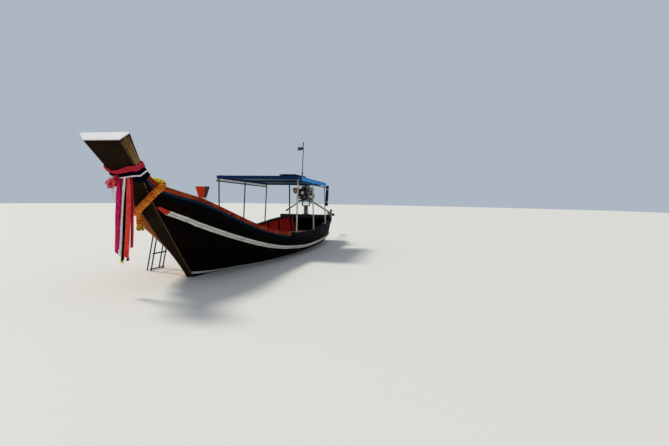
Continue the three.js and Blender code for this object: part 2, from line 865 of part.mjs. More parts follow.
const tailDown = new THREE.Vector3(-1, 0, tailSlope).normalize();
const tailEnd = new THREE.Vector3(tailAftX, 0, tailZ(tailAftX));
const atTail = (length) => tailEnd.clone().addScaledVector(tailDown, length).toArray();
const driveShaft = (radius, depth) => rod(atTail(-depth), atTail(hubFrom + 2), radius, 16);
const bladeRows = [
  // radius, half chord, pitch angle
  [20, 38, 1.05],
  [60, 62, 0.8],
  [110, 66, 0.6],
  [propellerRadius, 30, 0.5],
];
const bladeCount = 3;
const bladeHalfThickness = 5;
function propeller() {
  const hub = rod(atTail(hubFrom), atTail(hubFrom + hubLength), 34, 18, 24);
  const middle = atTail(hubFrom + hubLength / 2);
  const blades = Array.from({ length: bladeCount }, (_, k) => {
    const rings = bladeRows.map(([radius, halfChord, pitch]) => {
      const along = Math.sin(pitch) * halfChord;
      const across = Math.cos(pitch) * halfChord;
      return [
        [along + bladeHalfThickness, across, radius],
        [along - bladeHalfThickness, across, radius],
        [-along - bladeHalfThickness, -across, radius],
        [-along + bladeHalfThickness, -across, radius],
      ];
    });
    const geometry = loft(rings);
    geometry.rotateX((k * 2 * Math.PI) / bladeCount);
    const turn = new THREE.Quaternion().setFromUnitVectors(new THREE.Vector3(-1, 0, 0), tailDown);
    geometry.applyQuaternion(turn);
    geometry.translate(...middle);
    return solid(geometry);
  });
  return join([hub, driveShaft(shaftRadius, bearingDepth), ...blades]);
}

// Steering tube, bent down to the helm's hand
const tillerRadius = 18;
const tillerPath = [
  [railsFore + 2 * gap, 0, pivotZ],
  [-2600, 0, pivotZ],
  [-2200, 0, 1180],
  [-1340, 0, 1020],
];
const tiller = () => tube(tillerPath, tillerRadius, 8, 8);

// Swivel: a turret with two cheeks, on a post, on a beam across the gunwales
const turretRadius = 120;
const turretHeight = 28;
const cheekHalfLength = 45;
const cheekRise = 32; // over the pin
const beamTop = 846;
const beamHalfWidth = 100;
const beamHalfLength = 800;
const postFootRadius = 110;
const postFootHeight = 18;
const enginePostRadius = 62;
const overPivot = (z) => [pivotX, 0, z];
function yoke() {
  const base = rod(overPivot(swivelZ + gap), overPivot(swivelZ + turretHeight), turretRadius, 24);
  const cheeks = [-1, 1].map((side) =>
    block(
      [pivotX - cheekHalfLength, side * cheekY - cheekThickness / 2, swivelZ + 10],
      [pivotX + cheekHalfLength, side * cheekY + cheekThickness / 2, pivotZ + cheekRise],
    ),
  );
  const hole = rod([pivotX, -200, pivotZ], [pivotX, 200, pivotZ], pinRadius + 0.4, 16);
  return cut(join([base, ...cheeks]), [hole]);
}
const engineBeam = layer(
  (x) => gunwaleZ(x) + gap,
  () => beamTop,
  pivotX - beamHalfWidth,
  pivotX + beamHalfWidth,
  -beamHalfLength,
  beamHalfLength,
);
const enginePost = join([
  rod(overPivot(beamTop + gap), overPivot(swivelZ), enginePostRadius, 20),
  rod(overPivot(beamTop + gap), overPivot(beamTop + postFootHeight), postFootRadius, 20),
]);

// Flag mast clamped to the roof's port edge. It leans aft, and the flag flies to starboard.
const mastFootX = 508;
const mastHeadX = 424;
const mastHeadZ = 2700;
const mastRadius = 10;
const mastSocketRadius = 17;
const mastSocketHeight = 130;
const mastY = roofHalf(mastFootX) - mastSocketRadius;
const mastFootZ = roofTop(mastFootX) + gap;
const mastX = (z) => mastFootX + ((mastHeadX - mastFootX) * (z - mastFootZ)) / (mastHeadZ - mastFootZ);
function flagMast() {
  const low = mastFootZ - 40;
  const up = (z, radius) => rod([mastX(low), mastY, low], [mastX(z), mastY, z], radius, 12);
  const floor = layer(() => 0, (x) => roofTop(x) + gap, 0, 1000);
  const socket = up(mastFootZ + mastSocketHeight, mastSocketRadius);
  return cut(join([up(mastHeadZ, mastRadius), socket]), [floor]);
}
const flagLow = 2510;
const flagHigh = 2680;
const flagLength = 125;
const flagThickness = 4;
function flag() {
  const near = mastY - mastRadius - gap;
  return solid(
    loft(
      [flagLow, flagHigh].map((z) => [
        [mastX(z) - flagThickness / 2, near, z],
        [mastX(z) + flagThickness / 2, near, z],
        [mastX(z) + flagThickness / 2, near - flagLength, z],
        [mastX(z) - flagThickness / 2, near - flagLength, z],
      ]),
    ),
  );
}

// Boarding ladder: two pairs of tubes that hook over the starboard gunwale
const ladderXs = [3590, 3190];
const ladderFootZ = -170;
const ladderLean = 0.19; // inwards per height
const ladderSpread = 80; // between the tubes of a pair
const ladderRadius = 12;
const rungRadius = 13;
const rungZs = [30, 330, 630];
const hookReach = 90; // inboard of the gunwale's edge
function ladder() {
  const widestX = ladderXs[1] - ladderRadius;
  const restZ = gunwaleZ(ladderXs[1]);
  const restY = -(gunwaleHalf(widestX) + walePlank + 3 * gap + ladderRadius + gap);
  const inner = (z) => restY - ladderLean * (restZ - z);
  const sides = ladderXs.map((x) => {
    const headZ = gunwaleZ(x) + ladderRadius + 2 * gap;
    const tubes = [0, ladderSpread].map((shift) =>
      rod(
        [x, inner(ladderFootZ) - shift, ladderFootZ],
        [x, inner(headZ) - shift, headZ],
        ladderRadius,
        8,
      ),
    );
    const outerEnd = inner(headZ) - ladderSpread - ladderRadius;
    const hook = rod([x, outerEnd, headZ], [x, hookReach - gunwaleHalf(x), headZ], ladderRadius, 8);
    return join([...tubes, hook]);
  });
  const rungs = rungZs.map((z) =>
    rod([ladderXs[0] + 35, inner(z), z], [ladderXs[1] - 35, inner(z), z], rungRadius, 8),
  );
  return cut(join([...sides, ...rungs]), [gunwaleRoom]);
}

// Cloth and flowers on the prow, as plain solids
const prowLength = ([x, z]) =>
  (x - prowFoot[0]) * prowDirection.x + (z - prowFoot[1]) * prowDirection.y;
function prowAt(length) {
  let i = 0;
  while (i < prow.length - 2 && prowLength(prow[i + 1]) < length) i++;
  const [low, high] = [prow[i], prow[i + 1]];
  const share = (length - prowLength(low)) / (prowLength(high) - prowLength(low));
  return low.map((v, k) => v + share * (high[k] - v));
}
function prowRing(from, to, thickness) {
  const inner = prow.map(prowLength).filter((length) => length > from && length < to);
  const rows = [from, ...inner, to].map(prowAt);
  const wide = prowBoard(
    rows.map(([fx, fz, fh, bx, bz, bh]) => {
      const out = [prowDirection.y * thickness, -prowDirection.x * thickness];
      return [fx + out[0], fz + out[1], fh + thickness, bx - out[0], bz - out[1], bh + thickness];
    }),
  );
  return cut(wide, [prowClear()]);
}
function prowClear() {
  return prowBoard(
    prow.map(([fx, fz, fh, bx, bz, bh]) => {
      const out = [prowDirection.y * 0.6, -prowDirection.x * 0.6];
      return [fx + out[0], fz + out[1], fh + 0.8, bx - out[0], bz - out[1], bh + 0.8];
    }),
  );
}

const wrapFrom = 175; // along the prow from the end of the planking
const wrapTo = 475;
const wrapThickness = 26;
function sashTails() {
  const tails = block([5735, -232, 450], [5795, 78, 1700]);
  const knot = block([5740, -250, 1560], [5830, -60, 1735]);
  const wrapRoom = prowRing(wrapFrom - 90, wrapTo + 90, wrapThickness + gap);
  return biggest(cut(join([tails, knot]), [wrapRoom, prowClear()]));
}

// Garland: laid round the prow, its end hanging in a loop off the starboard edge of the stem.
const garlandRadius = 61;
const dropRadius = 47;
function garland() {
  const portPart = [
    [5430, -25, 1642],
    [5430, 200, 1641],
    [5429, 300, 1622],
    [5432, 350, 1550],
    [5438, 292, 1462],
    [5447, 200, 1365],
    [5410, 60, 1310],
    [5370, -20, 1279],
  ];
  const starboardPart = [
    [5415, 75, 1316],
    [5350, -60, 1262],
    [5300, -165, 1205],
    [5325, -266, 1330],
    [5365, -336, 1480],
    [5400, -350, 1560],
    [5425, -295, 1622],
    [5430, -200, 1641],
    [5431, 30, 1638],
  ];
  const drop = [
    [5296, -205, 1215],
    [5270, -205, 1090],
    [5238, -205, 962],
    [5180, -205, 926],
    [5122, -205, 967],
    [5100, -205, 1090],
  ];
  const clear = hullForm(strakeThickness + 5, capThickness + gap, longFrames);
  const ring = join([
    tube(portPart, garlandRadius, 14, 8),
    tube(starboardPart, garlandRadius, 14, 8),
    tube(drop, dropRadius, 10, 8),
  ]);
  const board = join([
    gunwale(0.8),
    gunwalePort.translate([0, 0.6, 0]),
    gunwalePort.translate([5, 0, 0]),
  ]);
  const boards = board.add(mirrored(board));
  return biggest(cut(ring, [clear, boards, timberRoom, prowClear()]));
}

const roofTarp = layer((x) => roofTop(x) + gap, (x) => roofTop(x) + 58, -60, 800, 500, 940);

// Rolled side curtain, tied outside the aft port post, under the side rail.
const rollRadius = 45;
const rollFrom = 1140;
const rollTo = 1645;
function curtainRoll() {
  const [foot, top] = postLine(postXs[2], railUnder);
  const ends = [rollFrom, rollTo].map((z) => {
    const t = (z - foot[2]) / (top[2] - foot[2]);
    return [foot[0], foot[1] + t * (top[1] - foot[1]) + postRadius + rollRadius + gap, z];
  });
  return rod(...ends, rollRadius, 12);
}

const colours = {
  dark: [0x1d1411, 0.35, 0],
  stem: [0x2b1a10, 0.35, 0],
  red: [0x8e2a17, 0.5, 0],
  teal: [0x12333b, 0.5, 0],
  white: [0xdedcd4, 0.5, 0],
  wood: [0x7b5a3c, 0.7, 0],
  navy: [0x16233f, 0.6, 0],
  blue: [0x2f8fd8, 0.8, 0],
  steel: [0x4a4d50, 0.5, 0.8],
  iron: [0x24262a, 0.6, 0.5],
  cloth: [0xb01f45, 0.9, 0],
  flower: [0xe8870f, 0.9, 0],
};

const boat = new THREE.Group();
function add(name, shape, colour, group = boat) {
  const [hex, roughness, metalness] = colours[colour];
  const material = new THREE.MeshStandardMaterial({ color: hex, roughness, metalness });
  const mesh = new THREE.Mesh(geometryOf(shape), material);
  mesh.name = name;
  group.add(mesh);
}
function addPair(name, shape, colour) {
  add(name + "_port", shape, colour);
  add(name + "_starboard", mirrored(shape), colour);
}

add("keel_stem", timber, "stem");
add("transom", biggest(transom), "dark");
addPair("bottom_planking", bottomPort, "dark");
addPair("topside_planking", topsidePort, "dark");
addPair("gunwale", gunwalePort, "red");
addPair("sheer_band", sheerBand, "teal");
addPair("rubbing_strake", strake, "white");
add("prow_board", prowWood, "stem");
add("prow_end", prowEnd, "white");
add("foredeck", foredeck, "wood");
add("fore_bulkhead", bulkhead, "wood");
add("floorboards", floorboards, "wood");
add("aft_deck", aftDeck, "wood");
thwarts.forEach((shape, i) => add("thwart_" + (i + 1), shape, "white"));
add("mooring_bitt", mooringBitt(), "red");
add("engine_beam", engineBeam, "wood");
add("engine_post", enginePost, "steel");
add("swivel_yoke", yoke(), "steel");
add("engine_cradle", cradle(), "steel");
add("engine", engine(), "iron");
add("tail_tube", tail(), "steel");
add("propeller", propeller(), "steel");
add("tiller", tiller(), "steel");
add("canopy_roof", roof(), "navy");
postXs.forEach((x, i) => addPair("canopy_post_" + (i + 1), post(x, railUnder), "navy"));
addPair("canopy_side_rail", sideRail(0), "navy");
add("stern_post_starboard", mirrored(post(sternPostX, () => 1900)), "navy");
add("valance_port", valance(roofAft, 600, valanceHeight), "blue");
add("valance_starboard", mirrored(valance(roofAft, roofFront, starboardValanceHeight)), "white");
add("flag_mast", flagMast(), "steel");
add("flag", flag(), "white");
add("boarding_ladder", ladder(), "steel");
add("roof_tarp", roofTarp, "navy");
add("curtain_roll", curtainRoll(), "navy");
add("sash_wrap", prowRing(wrapFrom, wrapTo, wrapThickness), "cloth");
add("sash_tails", sashTails(), "cloth");
add("garland", garland(), "flower");

export default boat;
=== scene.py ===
# %% [markdown]
# # Dressing a long-tail boat
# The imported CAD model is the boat's skeleton: it says where every timber, post and pin is.
# This lesson loads it as a fixed frame and then gives it what the eye meets: varnish, paint,
# cloth, flowers and a greasy engine. Each cell adds one piece or finish.

# %% Load the frame
import math
import random

import bmesh
import bpy
from mathutils import Matrix, Vector, noise
from mathutils.bvhtree import BVHTree


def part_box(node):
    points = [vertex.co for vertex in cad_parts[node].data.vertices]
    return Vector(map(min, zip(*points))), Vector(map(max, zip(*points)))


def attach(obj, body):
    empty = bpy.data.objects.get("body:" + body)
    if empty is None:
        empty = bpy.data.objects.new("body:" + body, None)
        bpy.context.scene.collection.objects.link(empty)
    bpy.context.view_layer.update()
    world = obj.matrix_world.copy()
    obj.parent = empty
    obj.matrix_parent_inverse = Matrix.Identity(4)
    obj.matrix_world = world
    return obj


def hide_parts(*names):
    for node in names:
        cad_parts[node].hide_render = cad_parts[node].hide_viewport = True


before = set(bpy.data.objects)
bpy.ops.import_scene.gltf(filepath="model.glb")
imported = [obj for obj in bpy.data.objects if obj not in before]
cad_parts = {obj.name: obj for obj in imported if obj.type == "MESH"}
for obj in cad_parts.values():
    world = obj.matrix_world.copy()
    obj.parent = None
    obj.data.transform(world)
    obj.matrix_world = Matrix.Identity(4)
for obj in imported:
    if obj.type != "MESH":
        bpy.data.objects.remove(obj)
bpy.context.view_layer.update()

# %% [markdown]
# ## The camera
# A camera is only a place, a direction and a lens. The cell writes those down as the numbers that
# were fitted to the picture: how far the view turns from the boat's own axis, how far it looks
# down, and how far the horizon leans.

# %% Camera
EYE = Vector((12.276, 4.502, 1.5))
HEADING = math.radians(13.0)
LOOKS_DOWN = math.radians(3.22)
LEANS = math.radians(0.93)
FOCAL_PIXELS = 522
FRAME_PIXELS = 669
SENSOR_MM = 36.0


def link(obj):
    bpy.context.scene.collection.objects.link(obj)
    return obj


ahead = Vector((
    -math.cos(HEADING) * math.cos(LOOKS_DOWN),
    -math.sin(HEADING) * math.cos(LOOKS_DOWN),
    -math.sin(LOOKS_DOWN),
))
level_right = Vector((-math.sin(HEADING), math.cos(HEADING), 0.0))
level_up = level_right.cross(ahead)
right = level_right * math.cos(LEANS) + level_up * math.sin(LEANS)
up = level_up * math.cos(LEANS) - level_right * math.sin(LEANS)

camera = link(bpy.data.objects.new("camera", bpy.data.cameras.new("camera")))
camera.data.sensor_width = SENSOR_MM
camera.data.lens = FOCAL_PIXELS / FRAME_PIXELS * SENSOR_MM
camera.matrix_world = Matrix.Translation(EYE) @ Matrix((right, up, -ahead)).transposed().to_4x4()
bpy.context.scene.camera = camera
print("lens", round(camera.data.lens, 2), "mm")

# %% [markdown]
# ## A helper for finishes
# Every finish is a small graph of nodes on the object's own coordinates, in metres, so a plank is
# a real plank wide. Wiring nodes by hand takes four lines each. The class keeps the graph
# readable: each method adds one node and gives back the socket that comes out of it.

# %% Finishes as small graphs
SOCKETS = {
    "specular": "Specular IOR Level",
    "sheen": "Sheen Weight",
    "sheen_roughness": "Sheen Roughness",
    "roughness": "Roughness",
    # a glow is painted light on a surface that is no lamp
    "painted_glow": "Emission Strength",
}
HEIGHT_SCALE = 3.0  # a curve node's own range is 0 to 1


def colour(red, green, blue):
    """A colour given as on a paint chart, 0 to 255, in Blender's linear values."""
    linear = [((c / 255 + 0.055) / 1.055) ** 2.4 if c > 10 else c / 255 / 12.92 for c in (red, green, blue)]
    return (*linear, 1.0)


class Finish:
    def __init__(self, name, **sockets):
        self.material = bpy.data.materials.new(name)
        self.material.use_nodes = True
        self.tree = self.material.node_tree
        self.shader = self.tree.nodes["Principled BSDF"]
        self.place = self.node("TexCoord").outputs["Object"]
        self.uv = self.node("UVMap").outputs["UV"]
        self.bumped = None
        for socket, value in sockets.items():
            self.wire(value, self.shader.inputs[SOCKETS[socket]])

    def wire(self, value, socket):
        """Links a socket, or sets a constant. A colour is given as on a paint chart."""
        if isinstance(value, bpy.types.NodeSocket):
            self.tree.links.new(value, socket)
        else:
            socket.default_value = colour(*value) if socket.type == "RGBA" else value

    def node(self, kind, inputs=(), **settings):
        made = self.tree.nodes.new("ShaderNode" + kind)
        for key, value in settings.items():
            setattr(made, key, value)
        for key, value in dict(inputs).items():
            self.wire(value, made.inputs[key])
        return made

    def math(self, operation, a, b=0.0):
        return self.node("Math", {0: a, 1: b}, operation=operation).outputs[0]

    def cloud(self, size, stretch=(1, 1, 1), detail=4.0):
        """Soft noise from 0 to 1, with blobs of about this size in metres."""
        scaled = self.node("Mapping", {"Vector": self.place, "Scale": stretch}).outputs[0]
        return self.node("TexNoise", {"Vector": scaled, "Scale": 1 / size, "Detail": detail}).outputs["Fac"]

    def fade(self, value, start, end, low=0.0, high=1.0, kind="SMOOTHSTEP"):
        inputs = {"Value": value, "From Min": start, "From Max": end, "To Min": low, "To Max": high}
        return self.node("MapRange", inputs, interpolation_type=kind).outputs[0]

    def mix(self, share, a, b):
        return self.node("Mix", {0: share, 6: a, 7: b}, data_type="RGBA").outputs[2]

    def axis(self, letter, vector=None):
        return self.node("SeparateXYZ", {0: vector or self.place}).outputs[letter]

    def above(self, rows):
        """The height above a line down the length of the boat, given as (x, z) rows."""
        first, last = rows[0][0], rows[-1][0]
        curve = self.node("FloatCurve", {"Value": self.fade(self.axis("X"), first, last, kind="LINEAR")})
        points = curve.mapping.curves[0].points
        scaled_rows = [((x - first) / (last - first), z / HEIGHT_SCALE) for x, z in rows]
        points[0].location, points[1].location = scaled_rows[0], scaled_rows[-1]
        for place in scaled_rows[1:-1]:
            points.new(*place)
        curve.mapping.update()
        line = self.math("MULTIPLY", curve.outputs[0], HEIGHT_SCALE)
        return self.math("SUBTRACT", self.axis("Z"), line)

    def dot(self, direction, origin):
        """How far the place lies from an origin along a direction."""
        moved = self.node("VectorMath", {0: self.place, 1: origin}, operation="SUBTRACT").outputs[0]
        inputs = {0: moved, 1: direction}
        return self.node("VectorMath", inputs, operation="DOT_PRODUCT").outputs["Value"]

    def sideways(self):
        """How much the surface faces away from the boat's middle plane, -1 to 1."""
        normal = self.node("NewGeometry").outputs["Normal"]
        return self.math("MULTIPLY", self.axis("Y", normal), self.math("SIGN", self.axis("Y")))

    def upward(self):
        return self.axis("Z", self.node("NewGeometry").outputs["Normal"])

    def relief(self, height, depth, strength=1.0):
        inputs = {"Height": height, "Distance": depth, "Strength": strength}
        if self.bumped:
            inputs["Normal"] = self.bumped
        self.bumped = self.node("Bump", inputs).outputs[0]
        self.wire(self.bumped, self.shader.inputs["Normal"])

    def base(self, value):
        self.wire(value, self.shader.inputs["Base Color"])

    def rough(self, value):
        self.wire(value, self.shader.inputs["Roughness"])


print("a finish has", len(SOCKETS), "named settings")

# %% [markdown]
# ## Floor and light
# The boat is shown as it floats, so the pale studio floor lies at its waterline. The floor has a
# hole inside the hull, or it would show between the floorboards.
# A low table of half breadths gives the hole, and `bridge_loops` spans from it to a far ring.
# The light is a wide soft sun from starboard, as in the photograph, with a pale sky all round.

# %% Floor, sky and sun
WATERLINE = [  # x, half breadth inside the planking
    (-4.02, 0.0), (-4.0, 0.30), (-3.5, 0.47), (-2.8, 0.545), (-1.4, 0.61), (0.0, 0.62),
    (1.4, 0.505), (2.1, 0.38), (2.8, 0.19), (3.4, 0.075), (3.93, 0.03), (3.95, 0.0),
]
FLOOR_REACH = 60.0
SKY_STRENGTH = 0.62
SUN_STRENGTH = 2.6
SUN_WIDTH = math.radians(14)
SUN_FROM = Vector((-1.5, -4.5, 6.0))


def ring_edges(bm, points):
    verts = [bm.verts.new(point) for point in points]
    return [bm.edges.new((a, b)) for a, b in zip(verts, verts[1:] + verts[:1])]


port_line = [(x, half, 0.0) for x, half in WATERLINE]
starboard_line = [(x, -half, 0.0) for x, half in reversed(WATERLINE[1:-1])]
waterline = port_line + starboard_line
bm = bmesh.new()
inner = ring_edges(bm, waterline)
outer = ring_edges(bm, [Vector(point).normalized() * FLOOR_REACH for point in waterline])
bmesh.ops.bridge_loops(bm, edges=inner + outer)
bmesh.ops.recalc_face_normals(bm, faces=bm.faces)
if bm.faces[0].normal.z < 0:
    bmesh.ops.reverse_faces(bm, faces=bm.faces)
floor = link(bpy.data.objects.new("studio_floor", bpy.data.meshes.new("studio_floor")))
bm.to_mesh(floor.data)
bm.free()
floor_paint = Finish("pale floor", roughness=0.8)
floor_paint.base((214, 211, 204))
floor.data.materials.append(floor_paint.material)

world = bpy.data.worlds.new("pale sky")
world.use_nodes = True
sky = world.node_tree.nodes["Background"].inputs
sky["Color"].default_value = colour(214, 226, 240)
sky["Strength"].default_value = SKY_STRENGTH
bpy.context.scene.world = world
bpy.context.scene.view_settings.view_transform = "Standard"

sun = link(bpy.data.objects.new("sun", bpy.data.lights.new("sun", "SUN")))
sun.data.energy = SUN_STRENGTH
sun.data.angle = SUN_WIDTH
sun.data.color = (1.0, 0.95, 0.87)
sun.matrix_world = SUN_FROM.to_track_quat("Z", "Y").to_matrix().to_4x4()
print("floor of", len(floor.data.polygons), "faces")

# %% [markdown]
# ## Varnished planks and painted timber
# The topsides are planks bent round the ribs, so their seams rise towards the bow with the
# rubbing strake. The seam pattern is the height above that strake, cut into plank widths. A
# groove, a darker line and a streaky grain make it a plank. Inside, the same planking is
# painted red above and dark below: the sign of the surface's own direction tells the two apart.

# %% Hull finish
STRAKE_LINE = [  # x, height of the middle of the white rubbing strake
    (-4.2, 0.285), (-2.8, 0.244), (-1.4, 0.221), (0.0, 0.211), (1.4, 0.308), (2.1, 0.399),
    (2.8, 0.524), (3.5, 0.676), (4.17, 0.838), (4.786, 1.02), (5.3, 1.24), (6.4, 1.74),
]
GUNWALE_LINE = [  # x, height of the gunwale's top
    (-4.2, 0.769), (-3.5, 0.766), (-2.8, 0.717), (-1.4, 0.594), (0.0, 0.565), (1.4, 0.637), (2.1, 0.729),
    (2.8, 0.867), (3.5, 1.047), (4.1, 1.222), (4.7, 1.400), (5.1, 1.490), (5.5, 1.602),
]
BOOT_LINE = [  # x, height of the middle of the pale stripe along the waterline
    (-4.2, 0.006), (1.4, 0.010), (2.4, 0.014), (3.2, 0.029), (3.6, 0.045), (4.1, 0.09),
]
PLANK_WIDTH = 0.145
SEAM_HALF = 0.003
RED_TO = -3.85  # the inside is red forward of this, dark blue by the transom
MATT = 0.003  # specular level of the darkest finishes


def plank_seams(finish, height, width):
    """0 on a seam between planks, 1 away from it."""
    share = finish.math("FRACT", finish.math("DIVIDE", height, width))
    from_middle = finish.math("ABSOLUTE", finish.math("SUBTRACT", share, 0.5))
    return finish.fade(from_middle, 0.5, 0.5 - SEAM_HALF / width)


def grain(finish, size=0.012, stretch=(0.05, 1, 1)):
    return finish.cloud(size, stretch, detail=6.0)


def varnished(name, dark, light, patch):
    """Planks, near black outside, or brown where sunlight is painted on; inside red above the strake and blue
    below it.
    """
    finish = Finish(name, specular=MATT)
    above_strake = finish.above(STRAKE_LINE)
    seam = plank_seams(finish, above_strake, PLANK_WIDTH)
    streaks = grain(finish)
    wood = finish.mix(streaks, dark, light)
    wood = finish.mix(finish.fade(finish.cloud(0.5, (0.35, 1, 1)), 0.5, 0.8), wood, patch)
    wood = finish.mix(seam, (4, 3, 3), wood)
    from_boot = finish.math("ABSOLUTE", finish.above(BOOT_LINE))
    boot_half = finish.fade(finish.axis("X"), 3.0, 3.95, 0.011, 0.02)
    wood = finish.mix(finish.math("LESS_THAN", from_boot, boot_half), wood, (196, 198, 194))
    red = finish.mix(finish.cloud(0.06), (214, 50, 42), (168, 38, 32))
    red = finish.mix(finish.math("LESS_THAN", finish.axis("X"), RED_TO), red, (16, 20, 44))
    blue = finish.mix(finish.cloud(0.08), (30, 44, 78), (20, 30, 54))
    inside = finish.mix(finish.fade(above_strake, 0.02, 0.03), blue, red)
    faces_in = finish.math("LESS_THAN", finish.sideways(), -0.3)
    faces_up = finish.math("GREATER_THAN", finish.upward(), 0.3)
    finish.base(finish.mix(finish.math("MAXIMUM", faces_in, faces_up), wood, inside))
    finish.rough(finish.fade(streaks, 0.2, 0.8, 0.42, 0.6))
    finish.relief(seam, 0.003)
    finish.relief(streaks, 0.0012, 0.5)
    return finish


hull = varnished("black varnish", (6, 4, 3), (15, 10, 7), (22, 14, 10))
# The starboard bottom planks get a brown copy of the dark varnish: this is painted sunlight.
painted_sunlit_hull = varnished("hull varnish with painted sunlight", (124, 62, 24), (176, 94, 38), (146, 78, 34))
print("hull finish with", len(hull.tree.nodes), "nodes")

# %% [markdown]
# Painted timber is the same idea with less wood: a coat that is thin on the raised grain, has
# faded patches, and is rubbed through to something darker where hands and feet pass.

# %% Painted timber
ROOF_BOARD = 0.15
STRAKE_TIP_FROM = 5.13  # forward of this the strake is red


def painted(name, coat, faded, under, wear=0.68, gloss=0.45, aft=None, below=None, specular=0.12):
    """Worn paint. It changes abaft an x, with aft=(x, colour), and below a line that runs along
    the boat, with below=(rows, drop, colour)."""
    finish = Finish(name, specular=specular)
    lengthwise = (0.25, 1, 1)
    streak = grain(finish, 0.02, lengthwise)
    rubbed = finish.fade(finish.cloud(0.05, lengthwise, detail=8.0), wear, wear + 0.05)
    skin = finish.mix(finish.fade(finish.cloud(0.22, detail=5.0), 0.35, 0.7), coat, faded)
    if below:
        rows, drop, lower = below
        skin = finish.mix(finish.math("LESS_THAN", finish.above(rows), -drop), skin, lower)
    if aft:
        skin = finish.mix(finish.math("LESS_THAN", finish.axis("X"), aft[0]), skin, aft[1])
    finish.base(finish.mix(rubbed, skin, under))
    finish.rough(finish.fade(streak, 0.2, 0.8, gloss - 0.1, gloss + 0.2))
    finish.relief(streak, 0.0015, 0.5)
    finish.relief(rubbed, -0.001, 0.6)
    return finish


def boarded_roof():
    """Blue at the edges; seen from below, paler boards with seams across the boat."""
    finish = Finish("roof frame and its boards", specular=0.05)
    streak = grain(finish, 0.02, (1, 0.1, 1))
    board = plank_seams(finish, finish.axis("X"), ROOF_BOARD)
    from_below = finish.mix(board, (8, 26, 34), finish.mix(streak, (18, 62, 76), (34, 92, 104)))
    edge = finish.mix(streak, (14, 40, 84), (26, 66, 116))
    finish.base(finish.mix(finish.math("LESS_THAN", finish.upward(), -0.5), edge, from_below))
    finish.rough(0.5)
    finish.relief(board, 0.003)
    finish.relief(streak, 0.001, 0.5)
    return finish


def double_strake():
    """White with a groove along the middle, dirt in patches and a red tip."""
    finish = Finish("white double strake", specular=0.1)
    groove = finish.fade(finish.math("ABSOLUTE", finish.above(STRAKE_LINE)), 0.003, 0.007)
    dirt = finish.fade(finish.cloud(0.09, (0.2, 1, 1)), 0.45, 0.75)
    white = finish.mix(dirt, (226, 224, 214), (190, 184, 170))
    white = finish.mix(groove, (160, 156, 146), white)
    tip = finish.fade(finish.axis("X"), STRAKE_TIP_FROM, STRAKE_TIP_FROM + 0.01)
    finish.base(finish.mix(tip, white, (200, 44, 28)))
    finish.rough(0.45)
    finish.relief(groove, 0.004)
    return finish


gunwale_red = painted("worn red gunwale", (122, 34, 18), (158, 66, 30), (50, 24, 18), 0.6, specular=MATT,
                      aft=(1.3, (6, 9, 14)), below=(GUNWALE_LINE, 0.064, (14, 46, 62)))
sheer_dark = painted("dark band", (5, 9, 12), (10, 17, 22), (5, 6, 7), 0.66, specular=MATT)
seat_white = painted("white seats", (222, 222, 216), (236, 236, 230), (150, 140, 126), 0.7)
end_white = painted("white prow end", (244, 243, 238), (250, 250, 246), (206, 200, 188), 0.74)
navy = painted("blue roof frame", (16, 42, 80), (24, 60, 104), (12, 24, 40), 0.7, specular=0.05)
beam_dark = painted("dark beam paint", (30, 34, 48), (44, 46, 58), (70, 52, 40), 0.6)
edge_tan = painted("tan edge beads", (96, 76, 54), (122, 98, 72), (50, 38, 28), 0.66)
gold = painted("gold leaf", (226, 186, 108), (196, 152, 80), (120, 84, 44), 0.66, 0.4)
# The gilt ground is dark partly in its own colour and partly as painted shade in the hollows between the
# lozenges.
gilt_ground_and_recess_shade = painted("gilt ground with painted recess shade", (74, 52, 28), (104, 74, 38), (40, 26, 16), 0.6)
post_dark = painted("dark posts", (28, 48, 62), (40, 62, 74), (90, 60, 44), 0.72)
post_pale = painted("pale posts", (206, 182, 166), (222, 204, 190), (120, 92, 76), 0.7)
roof_blue = boarded_roof()
strake_white = double_strake()
print("paints ready, the gunwale's with", len(gunwale_red.tree.nodes), "nodes")

# %% [markdown]
# The stem and the prow are one dark brown timber. Its sides carry on the colours of the hull
# below the sashes: a red edge, a teal line and black. How far a point lies up the prow, and how
# far behind its front, are two dot products, so the bands follow the rake without a picture.
# The oiled boards of the deck and the chipped paint of the mooring bitt, with painted shade on its sides, are
# made here too.

# %% Stem and prow
PROW = [  # front x, z, half, back x, z, half, from the planking up to the white end
    (5.578, 1.504, 0.190, 5.500, 1.604, 0.300),
    (5.673, 1.595, 0.206, 5.597, 1.695, 0.267),
    (5.798, 1.711, 0.220, 5.724, 1.806, 0.253),
    (5.923, 1.828, 0.230, 5.849, 1.917, 0.258),
    (6.149, 2.013, 0.252, 6.082, 2.108, 0.323),
    (6.310, 2.144, 0.268, 6.246, 2.237, 0.374),
]
PROW_START = Vector((PROW[0][0], 0, PROW[0][1]))
PROW_RAKE = (Vector((PROW[-1][0], 0, PROW[-1][1])) - PROW_START).normalized()
PROW_OUT = Vector((PROW_RAKE.z, 0, -PROW_RAKE.x))
PROW_DEPTH = 0.122
SASH_FROM = 0.20  # the sashes cover the prow from here
RED_EDGE = 0.030
TEAL_EDGE = 0.066
DECK_BOARD = 0.12
WHITE_FOOT_TO = 1.392  # the bitt is white up to this height


def brown_timber(name):
    finish = Finish(name, specular=0.02, roughness=0.72)
    streak = finish.cloud(0.014, (0.12, 1, 0.12), detail=6.0)
    brown = finish.mix(streak, (17, 11, 7), (38, 25, 14))
    finish.relief(streak, 0.0015, 0.6)
    return finish, finish.mix(finish.fade(finish.cloud(0.3), 0.4, 0.8), brown, (46, 31, 18))


